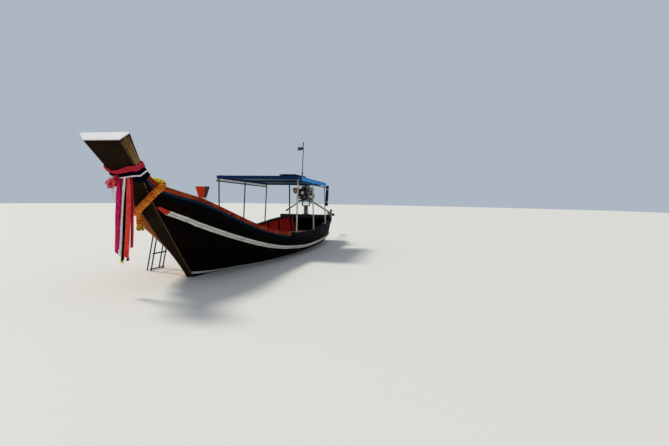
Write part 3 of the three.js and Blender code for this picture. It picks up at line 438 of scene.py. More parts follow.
def prow_timber():
    finish, brown = brown_timber("prow timber")
    from_back = finish.math("ADD", PROW_DEPTH, finish.dot(PROW_OUT, PROW_START))
    side = finish.mix(finish.math("LESS_THAN", from_back, TEAL_EDGE), (13, 9, 8), (24, 58, 72))
    side = finish.mix(finish.math("LESS_THAN", from_back, RED_EDGE), side, (158, 40, 30))
    low_down = finish.math("LESS_THAN", finish.dot(PROW_RAKE, PROW_START), SASH_FROM)
    on_side = finish.fade(finish.sideways(), 0.3, 0.4)
    finish.base(finish.mix(finish.math("MULTIPLY", low_down, on_side), brown, side))
    return finish


def deck_boards():
    finish = Finish("oiled deck boards", roughness=0.7)
    boards = plank_seams(finish, finish.axis("Y"), DECK_BOARD)
    streaks = grain(finish)
    tone = finish.mix(streaks, (112, 82, 54), (164, 128, 90))
    tone = finish.mix(finish.fade(finish.cloud(0.3), 0.4, 0.75), tone, (132, 112, 90))
    finish.base(finish.mix(boards, (38, 28, 20), tone))
    finish.relief(boards, 0.004)
    finish.relief(streaks, 0.001, 0.6)
    return finish


def bitt_paint():
    """Red on the faces ahead and astern, with painted shade in dark red on the sides, white at the foot."""
    finish = Finish("bitt paint", specular=0.1, roughness=0.4)
    shaded_sides = finish.fade(finish.math("ABSOLUTE", finish.sideways()), 0.5, 0.6)
    chips = finish.fade(finish.cloud(0.03, detail=8.0), 0.66, 0.7)
    # Painted shade: the sides of the bitt are a darkened red.
    red = finish.mix(shaded_sides, (240, 66, 28), (44, 18, 22))
    at_foot = finish.math("LESS_THAN", finish.axis("Z"), WHITE_FOOT_TO)
    finish.base(finish.mix(chips, finish.mix(at_foot, red, (224, 222, 214)), (92, 44, 30)))
    finish.relief(chips, -0.001)
    return finish


stem, stem_brown = brown_timber("stem varnish")
stem.base(stem_brown)
prow, deck, bitt_red = prow_timber(), deck_boards(), bitt_paint()
print("prow finish with", len(prow.tree.nodes), "nodes")

# %% [markdown]
# ## Metal
# Salt air leaves no metal clean. Steel gets a dull zinc skin with rust that creeps out of a
# fine noise, the engine gets oil over cast iron, and the propeller a brown skin on bronze.

# %% Metal finishes


def metal(name, shine, dull, rust, rust_share=0.6, roughness=0.45, metallic=0.9):
    finish = Finish(name)
    fine = finish.cloud(0.012, detail=8.0)
    wide = finish.cloud(0.12, detail=6.0)
    rusty = finish.fade(finish.math("MULTIPLY", fine, wide), rust_share * 0.42, rust_share * 0.5)
    finish.base(finish.mix(rusty, finish.mix(wide, shine, dull), rust))
    finish.wire(finish.fade(rusty, 0, 1, metallic, 0.1), finish.shader.inputs["Metallic"])
    finish.rough(finish.fade(fine, 0.2, 0.8, roughness - 0.1, roughness + 0.25))
    finish.relief(fine, 0.0008, 0.5)
    return finish


def blotched(name, specular, roughness, size, light, dark, detail=4.0):
    """One colour that drifts into another."""
    finish = Finish(name, specular=specular, roughness=roughness)
    finish.base(finish.mix(finish.cloud(size, detail=detail), light, dark))
    return finish


steel = metal("weathered steel", (120, 122, 124), (86, 88, 90), (104, 56, 30), 0.72)
dark_steel = metal("dark painted steel", (44, 48, 54), (30, 33, 38), (96, 50, 28), 0.76, 0.5, 0.4)
iron = metal("oily cast iron", (40, 40, 42), (24, 24, 26), (84, 48, 30), 0.8, 0.35, 0.7)
bronze = metal("propeller bronze", (88, 74, 46), (52, 50, 36), (34, 52, 42), 0.6, 0.4)
aluminium = metal("cast aluminium", (226, 228, 230), (186, 188, 190), (116, 96, 76), 0.8, 0.4, 0.4)
scorched = metal("scorched pipe", (132, 122, 112), (96, 74, 56), (112, 58, 30), 0.56, 0.5, 0.6)
rubber = blotched("black rubber", 0.3, 0.6, 0.02, (14, 14, 15), (30, 30, 31))
pale_rubber = blotched("pale hose", 0.3, 0.55, 0.03, (206, 204, 198), (164, 160, 150))
red_enamel = blotched("red enamel", 0.5, 0.35, 0.02, (150, 28, 22), (96, 26, 20), 6.0)
print("a metal has", len(steel.tree.nodes), "nodes")

# %% [markdown]
# ## Smooth copies of the hull
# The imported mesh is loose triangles, which shade flat. Planking bends in fair curves, so each
# long hull piece is copied, its doubled corners are merged, and only the edges sharper than a
# set angle stay sharp. The copy stands for its node, and the node keeps its place in the frame.

# %% Smooth copies
STEM_EDGE = [  # front edge of the stem: height, x, half breadth
    (0.000, 4.000, 0.055), (0.133, 4.112, 0.062), (0.462, 4.466, 0.084), (0.755, 4.804, 0.125),
    (1.146, 5.196, 0.138), (1.504, 5.578, 0.190),
]
STEM_COVER = 0.012
STRAKE_TIP_LENGTH = 0.16
STRAKE_TIP_RISE = 0.024
STRAKE_SLIM = 0.82


def between(rows, at):
    """The row of a table where its first column is at, by straight lines between the rows."""
    for low, high in zip(rows, rows[1:]):
        if at <= high[0]:
            break
    share = (at - low[0]) / (high[0] - low[0])
    return [a + share * (b - a) for a, b in zip(low, high)]


def finish_piece(name, bm, finish, slot, body="hull", replaces=()):
    """Turns a bmesh into a piece that rides on a body."""
    mesh = bpy.data.meshes.new(name)
    bm.to_mesh(mesh)
    bm.free()
    for extra in [a for a in mesh.attributes if a.name == "custom_normal"]:
        mesh.attributes.remove(extra)
    obj = link(bpy.data.objects.new(name, mesh))
    mesh.materials.clear()
    mesh.materials.append(finish.material)
    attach(obj, body)
    if replaces:
        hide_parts(*replaces)
    return obj


def smooth_edges(bm, degrees):
    limit = math.radians(degrees)
    for face in bm.faces:
        face.smooth = True
    for edge in bm.edges:
        edge.smooth = edge.calc_face_angle(math.pi) < limit


def behind_stem(vert):
    """Draws the ends of the planks back behind the front face of the stem."""
    if vert.co.x < STEM_EDGE[0][1] or not STEM_EDGE[0][0] <= vert.co.z <= STEM_EDGE[-1][0]:
        return
    _, front, half = between(STEM_EDGE, vert.co.z)
    if abs(vert.co.y) < half + STEM_COVER and vert.co.x > front - STEM_COVER:
        vert.co.x = front - STEM_COVER


def slim_strake(vert):
    """Makes the strake a little lower, and draws its forward end up to a point."""
    _, middle = between(STRAKE_LINE, vert.co.x)
    vert.co.z = middle + (vert.co.z - middle) * STRAKE_SLIM
    share = (vert.co.x - STRAKE_TIP_FROM) / STRAKE_TIP_LENGTH
    if share > 0:
        vert.co.z += (middle + STRAKE_TIP_RISE - vert.co.z) * 0.8 * min(1.0, share)


def smooth_copy(node, finish, slot, degrees=32, adjust=None):
    bm = bmesh.new()
    bm.from_mesh(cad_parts[node].data)
    if adjust:
        for vert in bm.verts:
            adjust(vert)
    bmesh.ops.remove_doubles(bm, verts=bm.verts, dist=1e-5)
    bmesh.ops.dissolve_degenerate(bm, dist=1e-5, edges=bm.edges)
    smooth_edges(bm, degrees)
    finish_piece(node + "_fair", bm, finish, slot, replaces=[node])


# The bottom planks to starboard take the copy with painted sunlight.
for side, bottom in (("port", hull), ("starboard", painted_sunlit_hull)):
    smooth_copy("topside_planking_" + side, hull, "hull_wood", adjust=behind_stem)
    smooth_copy("bottom_planking_" + side, bottom, "hull_wood", adjust=behind_stem)
    smooth_copy("gunwale_" + side, gunwale_red, "red_paint")
    smooth_copy("sheer_band_" + side, sheer_dark, "teal_paint")
    smooth_copy("rubbing_strake_" + side, strake_white, "white_paint", adjust=slim_strake)
smooth_copy("keel_stem", stem, "stem_wood", 15)
print("fair hull made")

# %% [markdown]
# The canopy is copied in the same way. Its posts and its cross beams come out slimmer than the
# solids, as the photograph shows them.

# %% Slim canopy
ROOF_AFT, ROOF_FRONT = -2.160, 0.840
ROOF = [(ROOF_AFT, 0.900, 1.790), (ROOF_FRONT, 1.020, 1.880)]  # x, half breadth, height of the top
ROOF_THICK = 0.028
SIDE_RAIL = 0.062
BEAM_KEPT = 0.3  # of a cross beam's depth
POST_KEPT = 0.72  # of a post's thickness


def slim_cross_beams(vert):
    """Makes the beams across the roof less deep. The two long rails over the posts stay."""
    _, half, top = between(ROOF, vert.co.x)
    under = top - ROOF_THICK
    if vert.co.z < under - 0.002 and abs(vert.co.y) < half - SIDE_RAIL:
        vert.co.z = under + (vert.co.z - under) * BEAM_KEPT


def slim_post(node):
    """Makes a leaning post thinner about its own middle line."""
    corners = [vert.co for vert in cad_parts[node].data.vertices]
    low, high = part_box(node)
    reach = 0.1 * (high.z - low.z)
    foot = [corner for corner in corners if corner.z < low.z + reach]
    head = [corner for corner in corners if corner.z > high.z - reach]
    foot, head = sum(foot, Vector()) / len(foot), sum(head, Vector()) / len(head)

    def adjust(vert):
        middle = foot.lerp(head, (vert.co.z - foot.z) / (head.z - foot.z))
        vert.co.xy = middle.xy + (vert.co.xy - middle.xy) * POST_KEPT

    return adjust


for number in (1, 2, 3):
    for side, finish in (("port", post_pale), ("starboard", post_dark)):
        node = f"canopy_post_{number}_{side}"
        smooth_copy(node, finish, "navy_paint", adjust=slim_post(node))
smooth_copy("canopy_roof", roof_blue, "navy_paint", adjust=slim_cross_beams)
print("slim canopy made")

# %% [markdown]
# ## Finishes for the nodes that stay
# A node whose shape is right is kept. It only gets a better material in its own slot.

# %% Assign finishes
KEPT_NODES = [
    (hull, ["transom"]),
    (prow, ["prow_board"]),
    (end_white, ["prow_end"]),
    (deck, ["foredeck", "fore_bulkhead", "floorboards", "aft_deck"]),
    (beam_dark, ["engine_beam"]),
    (seat_white, ["thwart_1", "thwart_2", "thwart_3"]),
    (bitt_red, ["mooring_bitt"]),
    (steel, ["engine_post", "swivel_yoke", "engine_cradle", "tail_tube", "tiller", "flag_mast"]),
    (dark_steel, ["boarding_ladder"]),
    (iron, ["engine"]),
    (bronze, ["propeller"]),
    (navy, ["canopy_side_rail_port", "canopy_side_rail_starboard"]),
    (post_dark, ["stern_post_starboard"]),
]
for finish, nodes in KEPT_NODES:
    for node in nodes:
        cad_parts[node].material_slots[0].material = finish.material
print("finishes on", sum(len(nodes) for _, nodes in KEPT_NODES), "kept nodes")

# %% [markdown]
# ## The engine
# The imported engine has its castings, pipes, pulleys and fan as one dark body. What makes it look
# like an engine is small: bright covers, a pleated filter, cooling fins, hoses and many bolts.
# One small shape, copied many times into one mesh, makes each kind.

# %% Small repeated pieces


def template(build):
    """Corners and faces of a small solid made by build(bm)."""
    bm = bmesh.new()
    build(bm)
    corners = [vert.co.copy() for vert in bm.verts]
    bm.verts.index_update()
    faces = [[vert.index for vert in face.verts] for face in bm.faces]
    bm.free()
    return corners, faces


def drum(segments, top, depth, lift):
    """A low drum round the z axis, of radius 1 at its foot and raised by lift."""
    return template(lambda bm: bmesh.ops.create_cone(
        bm, cap_ends=True, segments=segments, radius1=1.0, radius2=top, depth=depth,
        matrix=Matrix.Translation((0, 0, lift)),
    ))


def slab(*size):
    return template(lambda bm: bmesh.ops.create_cube(bm, size=1.0, matrix=Matrix.Diagonal((*size, 1))))


def solids(corners, faces):
    """A bmesh from corners and from the corner numbers of each face."""
    mesh = bpy.data.meshes.new("solids")
    mesh.from_pydata(corners, [], faces)
    bm = bmesh.new()
    bm.from_mesh(mesh)
    bpy.data.meshes.remove(mesh)
    return bm


def copies(name, finish, shape, places, slot="steel", body="hull", replaces=(), smooth=False):
    """Many copies of a small shape in one mesh: each place is a centre, the way the shape's own
    z axis faces, its size and its spin. The UV map holds how far a corner lies from that axis, and
    a number from 0 to 1 that each copy has for itself."""
    corners, faces = [], []
    for centre, outward, size, spin in places:
        turn = outward.to_track_quat("Z", "Y").to_matrix() @ Matrix.Rotation(spin, 3, "Z")
        first = len(corners)
        corners += [Vector(centre) + turn @ (corner * size) for corner in shape[0]]
        faces += [[first + index for index in face] for face in shape[1]]
    bm = solids(corners, faces)
    layer = bm.loops.layers.uv.verify()
    for face in bm.faces:
        face.smooth = smooth
        for loop in face.loops:
            copy, corner = divmod(loop.vert.index, len(shape[0]))
            loop[layer].uv = (shape[0][corner].xy.length, copy * 0.618 % 1)
    finish_piece(name, bm, finish, slot, body, replaces)


BOLT = drum(6, 1.0, 0.9, 0.4)
WASHER = drum(24, 0.86, 0.12, 0.06)
PLEAT = slab(1, 0.08, 0.5)
COOLING_FIN = slab(0.9, 0.05, 0.08)
print("a bolt has", len(BOLT[1]), "faces, a washer", len(WASHER[1]))

# %% [markdown]
# Hoses, pipes and beads are round bars along a path. `smooth_path` draws a curve through a few
# points, and `bead` sweeps a ring of corners along it.

# %% Round bars


def around(count):
    """Angles all round a circle."""
    return [math.tau * k / count for k in range(count)]


def facing(path):
    """A frame at each point of a path: two directions across it and one along it."""
    frames = []
    across = None
    for i, point in enumerate(path):
        along = (path[min(i + 1, len(path) - 1)] - path[max(i - 1, 0)]).normalized()
        if across is None:
            across = along.orthogonal().normalized()
        across = (across - along * across.dot(along)).normalized()
        frames.append((point, across, along.cross(across), along))
    return frames


def smooth_path(points, step):
    """Points a step apart on a smooth curve through the given ones."""
    points = [Vector(point) for point in points]
    dense = []
    for before, a, b, after in zip(points[:1] + points, points, points[1:], points[2:] + points[-1:]):
        for k in range(24):
            t = k / 24
            dense.append(0.5 * (
                2 * a + (b - before) * t + (2 * before - 5 * a + 4 * b - after) * t * t
                + (3 * a - before - 3 * b + after) * t ** 3
            ))
    dense.append(points[-1])
    lengths = [0.0]
    for a, b in zip(dense, dense[1:]):
        lengths.append(lengths[-1] + (b - a).length)
    count = max(2, round(lengths[-1] / step))
    path, i = [], 0
    for k in range(count + 1):
        at = lengths[-1] * k / count
        while i < len(dense) - 2 and lengths[i + 1] < at:
            i += 1
        share = (at - lengths[i]) / max(lengths[i + 1] - lengths[i], 1e-9)
        path.append(dense[i].lerp(dense[i + 1], share))
    return path


def bead(name, finish, path, radius, slot, sides=8, body="hull"):
    """A round bar along a path, closed at both ends."""
    bm = bmesh.new()
    rings = []
    for point, a, b, _ in facing(path):
        ring = [point + (a * math.cos(t) + b * math.sin(t)) * radius for t in around(sides)]
        rings.append([bm.verts.new(corner) for corner in ring])
    for low, high in zip(rings, rings[1:]):
        for k in range(sides):
            bm.faces.new((low[k], low[(k + 1) % sides], high[(k + 1) % sides], high[k]))
    bm.faces.new(list(reversed(rings[0])))
    bm.faces.new(rings[-1])
    bmesh.ops.recalc_face_normals(bm, faces=bm.faces)
    smooth_edges(bm, 50)
    finish_piece(name, bm, finish, slot, body)


print("bars are swept with", len(around(8)), "sides")

# %% [markdown]
# All of the trim rides on the body that swivels and tilts.

# %% Engine trim
UNIT = "engine_unit"
FORE, UPWARDS = Vector((1, 0, 0)), Vector((0, 0, 1))
PORT, STARBOARD = Vector((0, 1, 0)), Vector((0, -1, 0))
BELL_BOLTS = (-3.607, 1.41, 0.156)  # x, z and radius of the ring of bolts on the bell housing
BELT_FACE = -2.921
PULLEYS = [(0.0, 1.390, 0.072), (0.236, 1.600, 0.034)]  # y, z, radius
FILTER = Vector((-3.300, -0.020, 1.716))
FILTER_RADIUS = 0.128
PLEATS_UP = 0.037
VALVE_COVER = Vector((-3.295, 0, 1.672))
VALVE_COVER_SIZE = (0.47, 0.138, 0.066)
ALTERNATOR = Vector((-3.035, 0.236, 1.600))
FINS_OUT = 0.061
LID = ((0.094, 0.118), (0.104, 0.030))  # height over the filter's middle, radius
TUBES = [  # name, finish, points, radius, slot, sides
    ("top_hose", pale_rubber, [(-2.975, -0.090, 1.460), (-2.905, -0.150, 1.520), (-2.900, -0.158, 1.620),
                               (-2.985, -0.120, 1.720), (-3.130, -0.060, 1.745)], 0.0185, "engine_iron", 12),
    ("low_hose", rubber, [(-2.972, -0.060, 1.460), (-2.895, -0.130, 1.450), (-2.935, -0.190, 1.380),
                          (-3.06, -0.150, 1.340)], 0.0195, "engine_iron", 12),
    ("exhaust_bend", scorched, [(-3.020, -0.268, 1.522), (-2.950, -0.275, 1.530), (-2.925, -0.292, 1.580),
                                (-2.965, -0.300, 1.622)], 0.0285, "engine_iron", 12),
    ("silencer_skin", scorched, [(-3.425, -0.3, 1.622), (-2.955, -0.3, 1.622)], 0.0455, "engine_iron", 20),
    ("collector_skin", scorched, [(-3.545, -0.268, 1.536), (-2.985, -0.268, 1.520)], 0.0352,
     "engine_iron", 16),
    ("oil_filter_skin", end_white, [(-3.18, 0.118, 1.400), (-3.18, 0.207, 1.3795)], 0.0412,
     "white_paint", 20),
    ("fan_spinner", aluminium, [(-2.872, 0, 1.508), (-2.856, 0, 1.508)], 0.046, "steel", 20),
    ("tiller_grip", rubber, [(-1.52, 0, 1.053), (-1.345, 0, 1.021)], 0.0215, "engine_iron", 12),
]

bolts = []
for x in (-3.57, -3.45, -3.33, -3.21, -3.09, -3.02):
    bolts += [((x, 0.104, 1.61), PORT, 0.011, 0.3), ((x, -0.104, 1.61), STARBOARD, 0.011, 0.1)]
    bolts += [((x, 0.118, 1.43), PORT, 0.010, 0.2), ((x, -0.118, 1.43), STARBOARD, 0.010, 0.4)]
bolts += [((x, 0.0, 1.702), UPWARDS, 0.013, 0.1) for x in (-3.50, -3.30, -3.10)]
bolts += [((-2.965, y, z), FORE, 0.010, 0.5) for y in (-0.1, 0.1) for z in (1.34, 1.42, 1.50, 1.545)]
x, z, radius = BELL_BOLTS
bolts += [((x, radius * math.cos(t), z + radius * math.sin(t)), FORE, 0.011, t) for t in around(10)]
copies("engine_bolts", steel, BOLT, bolts, body=UNIT)

wheels = [((BELT_FACE, y, z), FORE, radius * 0.92, 0.0) for y, z, radius in PULLEYS]
copies("pulley_faces", aluminium, WASHER, wheels, body=UNIT)
nuts = [((BELT_FACE + 0.004, y, z), FORE, radius * 0.28, 0.2) for y, z, radius in PULLEYS]
copies("pulley_nuts", steel, BOLT, nuts, body=UNIT)

pleats = []
for angle in around(56):
    outward = Vector((math.cos(angle), math.sin(angle), 0))
    pleats.append((FILTER + outward * FILTER_RADIUS + UPWARDS * PLEATS_UP, outward, 0.052, math.pi / 2))
copies("filter_pleats", pale_rubber, PLEAT, pleats, "engine_iron", UNIT)
lid = [(FILTER + UPWARDS * height, UPWARDS, size, 0.0) for height, size in LID]
copies("filter_lid", aluminium, WASHER, lid, body=UNIT)
copies("filter_nut", steel, BOLT, [(FILTER + UPWARDS * 0.106, UPWARDS, 0.014, 0.0)], body=UNIT)

bm = bmesh.new()
bmesh.ops.create_cube(bm, size=1.0, matrix=Matrix.LocRotScale(VALVE_COVER, None, VALVE_COVER_SIZE))
for vert in bm.verts:
    if vert.co.z > VALVE_COVER.z:
        vert.co.y *= 0.82
bmesh.ops.bevel(bm, geom=bm.edges[:], offset=0.009, segments=2, affect="EDGES")
smooth_edges(bm, 40)
finish_piece("valve_cover", bm, red_enamel, "engine_iron", UNIT)

fins = []
for angle in around(18):
    outward = Vector((0, math.cos(angle), math.sin(angle)))
    fins.append((ALTERNATOR + outward * FINS_OUT, outward, 0.13, 0.0))
copies("alternator_fins", aluminium, COOLING_FIN, fins, body=UNIT)

for name, finish, points, radius, slot, sides in TUBES:
    path = smooth_path(points, 0.012) if len(points) > 2 else [Vector(point) for point in points]
    bead(name, finish, path, radius, slot, sides, UNIT)
print("engine trimmed with", len(bolts), "bolts and", len(TUBES), "round bars")

# %% [markdown]
# ## Fastenings
# Planks, wales and posts are held by nails and bolts, and their rows of small heads give a boat
# its scale. A ray from outside finds the surface under each head, so a row follows the timber
# however it bends.

# %% Nail heads and post feet
NAIL_RADIUS = 0.0065
NAIL_STEP = 0.24
NAILS_FROM = -3.95
NAILS = 36
CLEAR_OF_HULL = 3.0
FOOT_RADIUS = 0.040
FOOT_IN = 0.021  # from the side of a post's box to the middle of its foot
FOOT_BOLTS_OUT = 0.031


def nail_row(name, node, line, drop):
    """A row of heads on both sides of the hull, below a line by drop, on the fair copy of a node."""
    places = []
    for side, word in ((1, "port"), (-1, "starboard")):
        mesh = bpy.data.objects[f"{node}_{word}_fair"].data
        skin = BVHTree.FromPolygons([v.co for v in mesh.vertices], [p.vertices for p in mesh.polygons])
        for number in range(NAILS):
            x = NAILS_FROM + NAIL_STEP * number
            start = Vector((x, side * CLEAR_OF_HULL, between(line, x)[1] - drop))
            point, normal, _, _ = skin.ray_cast(start, Vector((0, -side, 0)))
            if point:
                places.append((point, normal if normal.y * side > 0 else -normal, NAIL_RADIUS, 0.0))
    copies(name, steel, WASHER, places)
    return len(places)


heads = nail_row("strake_nails", "rubbing_strake", STRAKE_LINE, 0.0)
heads += nail_row("gunwale_nails", "gunwale", GUNWALE_LINE, 0.034)

feet, foot_bolts = [], []
for number in (1, 2, 3):
    for side in ("port", "starboard"):
        low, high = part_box(f"canopy_post_{number}_{side}")
        near_foot = low.y + FOOT_IN if side == "port" else high.y - FOOT_IN
        foot = Vector(((low.x + high.x) / 2, near_foot, low.z + 0.001))
        feet.append((foot, UPWARDS, FOOT_RADIUS, 0.0))
        for x in (-FOOT_BOLTS_OUT, FOOT_BOLTS_OUT):
            foot_bolts.append((foot + Vector((x, 0, 0.004)), UPWARDS, 0.007, 0.2))
copies("post_feet", steel, WASHER, feet)
copies("post_foot_bolts", steel, BOLT, foot_bolts)
print(heads, "nail heads,", len(feet), "post feet")

# %% [markdown]
# ## Cloth finishes
# Satin sashes shine along their folds, awning cloth is matt with a coarse weave. Both weaves
# read the piece's own UV map, which is laid out in metres, so threads stay the same size on
# every ribbon.

# %% Cloth


def cloth(name, main, shade, thread=0.0016, sheen=0.1, roughness=0.6, specular=0.1, painted_glow=0.0):
    """Woven cloth. A thin one can be given a glow: painted light that stands in for daylight coming through
    it.
    """
    finish = Finish(name, sheen=sheen, sheen_roughness=0.4, specular=specular, painted_glow=painted_glow, roughness=roughness)
    weft, warp = (
        finish.math("SINE", finish.math("MULTIPLY", finish.axis(letter, finish.uv), math.tau / thread))
        for letter in "XY"
    )
    finish.base(finish.mix(finish.fade(finish.cloud(0.09, detail=5.0), 0.3, 0.75), main, shade))
    finish.relief(finish.math("MULTIPLY", weft, warp), 0.0003, 0.35)
    finish.relief(finish.cloud(0.02, (1, 1, 0.3)), 0.002, 0.4)
    return finish


def lay_over(finish, share, ink):
    """Lays another colour over a cloth's own, where share is 1."""
    own = finish.shader.inputs["Base Color"].links[0].from_socket
    finish.base(finish.mix(share, own, ink))


def dashed_hem(finish, height, half, step, share, ink):
    """Draws a dashed line along the lower edge of a cloth."""
    from_line = finish.math("ABSOLUTE", finish.math("SUBTRACT", finish.axis("Y", finish.uv), height))
    along = finish.math("FRACT", finish.math("DIVIDE", finish.axis("X", finish.uv), step))
    near_hem, in_dash = finish.math("LESS_THAN", from_line, half), finish.math("LESS_THAN", along, share)
    lay_over(finish, finish.math("MULTIPLY", near_hem, in_dash), ink)


SATINS = {  # main colour, shade
    "crimson": ((206, 16, 52), (142, 4, 32)),
    "magenta": ((238, 28, 114), (194, 10, 84)),
    "coral": ((248, 84, 62), (230, 56, 52)),
    "white": ((250, 248, 248), (226, 222, 226)),
    "yellow": ((244, 232, 48), (228, 196, 20)),
}
satin = {name: cloth(name + " satin", *pair, roughness=0.4) for name, pair in SATINS.items()}
satin["navy"] = cloth("navy satin", (7, 8, 26), (3, 3, 10), sheen=0.0, specular=MATT)
satin["pink"] = cloth("faded pink satin", (240, 112, 146), (214, 62, 100), roughness=0.5)
sky_canvas = cloth("sky blue canvas", (46, 162, 236), (30, 128, 212), 0.002, 0.05, 0.8)
white_canvas = cloth("white canvas", (244, 244, 242), (222, 224, 224), 0.002, 0.1, 0.8)
navy_canvas = cloth("navy canvas", (18, 30, 62), (12, 20, 44), 0.002, 0.1, 0.75)
# Painted light: the white valance glows a little, in place of daylight shining through the thin cloth.
dotted_canvas = cloth("dotted white canvas", (250, 250, 248), (232, 234, 234), 0.002, 0.1, 0.8, painted_glow=0.15)
dashed_hem(dotted_canvas, height=0.016, half=0.009, step=0.11, share=0.6, ink=(38, 44, 60))
print(len(satin), "satins and 4 canvases")

# %% [markdown]
# All cloth below starts as a flat grid whose corners are then hung in place. `cloth_piece` makes
# the grid and its metres-wide UV map. `strip` hangs it along a spine, which is enough for a
# ribbon, a bow, a rolled curtain or a folded tarpaulin.

# %% Cloth grids


def cloth_piece(name, finish, across, down, place, size, slot, replaces=(), thick=0.0015):
    """A sheet from a grid of across by down cells: place(u, v) says where each corner hangs."""
    bm = bmesh.new()
    bmesh.ops.create_grid(bm, x_segments=across, y_segments=down, size=0.5, calc_uvs=True)
    layer = bm.loops.layers.uv.verify()
    for face in bm.faces:
        for loop in face.loops:
            flat = loop.vert.co
            loop[layer].uv = ((flat.x + 0.5) * size[0], (flat.y + 0.5) * size[1])
    for vert in bm.verts:
        vert.co = place(vert.co.x + 0.5, vert.co.y + 0.5)
    smooth_edges(bm, 60)
    obj = finish_piece(name, bm, finish, slot, replaces=replaces)
    wall = obj.modifiers.new("cloth", "SOLIDIFY")
    wall.thickness = thick
    wall.offset = 0.0
    return obj


def sheet_area(obj):
    return sum(face.area for face in obj.data.polygons)


def path_length(path):
    return sum((b - a).length for a, b in zip(path, path[1:]))


def strip(name, finish, path, width, across, slot="sash_cloth", replaces=(), cells=8,
          turn=0.0, narrow=1.0, pinched=False, slant=0.0, crease=0.0, sway=0.0, seed=0, thick=0.001):
    """A length of cloth hung along a path, its width in the direction across. It starts narrow,
    and where it is pinched it ends narrow too."""
    last = len(path) - 1

    def place(u, v):
        index = round(v * last)
        along = (path[min(index + 1, last)] - path[max(index - 1, 0)]).normalized()
        side = (across - along * across.dot(along)).normalized()
        side = Matrix.Rotation(turn * v, 3, along) @ side
        out = along.cross(side)
        opening = min(1.0, 5 * v, 5 * (1 - v)) if pinched else min(1.0, 5 * v)
        opened = width * (narrow + (1 - narrow) * opening)
        fold = crease * math.sin(math.tau * (1.1 * u + 0.2 * seed + 0.35 * v)) * min(1.0, 4 * v)
        swing = sway * noise.noise(Vector((v * 3, seed * 3.1, 0))) * min(1.0, 4 * v)
        tip = along * slant * (u - 0.5) * max(0.0, 8 * v - 7)
        return path[index] + side * ((u - 0.5) * opened + swing) + out * fold + tip

    length = path_length(path)
    obj = cloth_piece(name, finish, cells, last, place, (width, length), slot, replaces, thick)


print("cloth helpers ready")

# %% [markdown]
# ## The prow's dress
# Above the sashes the sides of the prow carry gilt carving: rows of small raised lozenges
# between thin edge beads. A lozenge is a four-sided pyramid, and dozens of them in one mesh cost
# less than a picture would. The same tan bead runs down both edges of the stem.

# %% Gilt panels and edge beads
GILT_FROM, GILT_TO = 0.47, 0.955
GILT_ROWS = 26
GILT_COLUMNS = 3
LOZENGE_FOOT, LOZENGE_TOP = 0.009, 0.014  # off the prow's side
PROW_BY_LENGTH = [((Vector((row[0], 0, row[1])) - PROW_START).dot(PROW_RAKE), *row) for row in PROW]


def side_point(length, back, side, stand_off=0.0):
    """A point on the prow's side: back runs from 0 at its front edge to 1 at its back edge."""
    _, fx, fz, fh, bx, bz, bh = between(PROW_BY_LENGTH, length)
    return Vector((fx + back * (bx - fx), side * (fh + back * (bh - fh) + stand_off), fz + back * (bz - fz)))


def lozenges(name, finish, side):
    corners, faces = [], []
    for row in range(GILT_ROWS):
        for column in range(GILT_COLUMNS):
            half_row = 0.5 * (column % 2)
            middle = GILT_FROM + (GILT_TO - GILT_FROM) * (row + 0.25 + half_row) / GILT_ROWS
            reach = 0.52 * (GILT_TO - GILT_FROM) / GILT_ROWS
            back = 0.12 + 0.68 * (column + 0.5) / GILT_COLUMNS
            first = len(corners)
            rim = [(middle - reach, back), (middle, back + 0.1), (middle + reach, back), (middle, back - 0.1)]
            corners += [side_point(*place, side, LOZENGE_FOOT) for place in rim]
            corners.append(side_point(middle, back, side, LOZENGE_TOP))
            faces += [[first + i, first + (i + 1) % 4, first + 4] for i in range(4)]
            faces.append([first + 3, first + 2, first + 1, first])
    bm = solids(corners, faces)
    bmesh.ops.recalc_face_normals(bm, faces=bm.faces)
    finish_piece(name, bm, finish, "stem_wood")


def panel(name, finish, side):
    """A thin plate over the prow's side, from its front edge to just short of the back edge."""
    bm = bmesh.new()
    bmesh.ops.create_grid(bm, x_segments=1, y_segments=24, size=0.5)
    for vert in bm.verts:
        length = GILT_FROM + (GILT_TO - GILT_FROM) * (vert.co.y + 0.5)
        vert.co = side_point(length, 0.05 + 0.79 * (vert.co.x + 0.5), side, 0.008)
    bmesh.ops.solidify(bm, geom=bm.faces[:], thickness=0.006 * side)
    bmesh.ops.recalc_face_normals(bm, faces=bm.faces)
    finish_piece(name, bm, finish, "stem_wood")


for side, word in ((1, "port"), (-1, "starboard")):
    # The plate under the lozenges is dark: partly the carving's own ground, partly painted shade between
    # them.
    panel("gilt_panel_" + word, gilt_ground_and_recess_shade, side)
    lozenges("gilt_lozenges_" + word, gold, side)
    stem_edge = smooth_path([(x, side * half, z) for z, x, half in STEM_EDGE], 0.06)
    bead("stem_bead_" + word, edge_tan, stem_edge, 0.005, "stem_wood")
    for part, back, finish in (("front", 0.03, edge_tan), ("back", 0.9, stem)):
        edge = [side_point(0.97 * k / 30, back, side, 0.002) for k in range(1, 30)]
        bead(f"prow_bead_{part}_{word}", finish, edge, 0.005, "stem_wood")
print(GILT_ROWS * GILT_COLUMNS, "lozenges a side")

# %% [markdown]
# ## The sashes on the prow
# Cloth is wound round the prow to honour its spirit. Three sashes lie over each other: crimson
# above, a thin white one, and dark navy below, drawn down to a knot in front and sloping down
# towards the back. Each is one closed band: a grid whose across direction runs round the
# prow's section. The ruffles are waves along the band that fade at its edges.

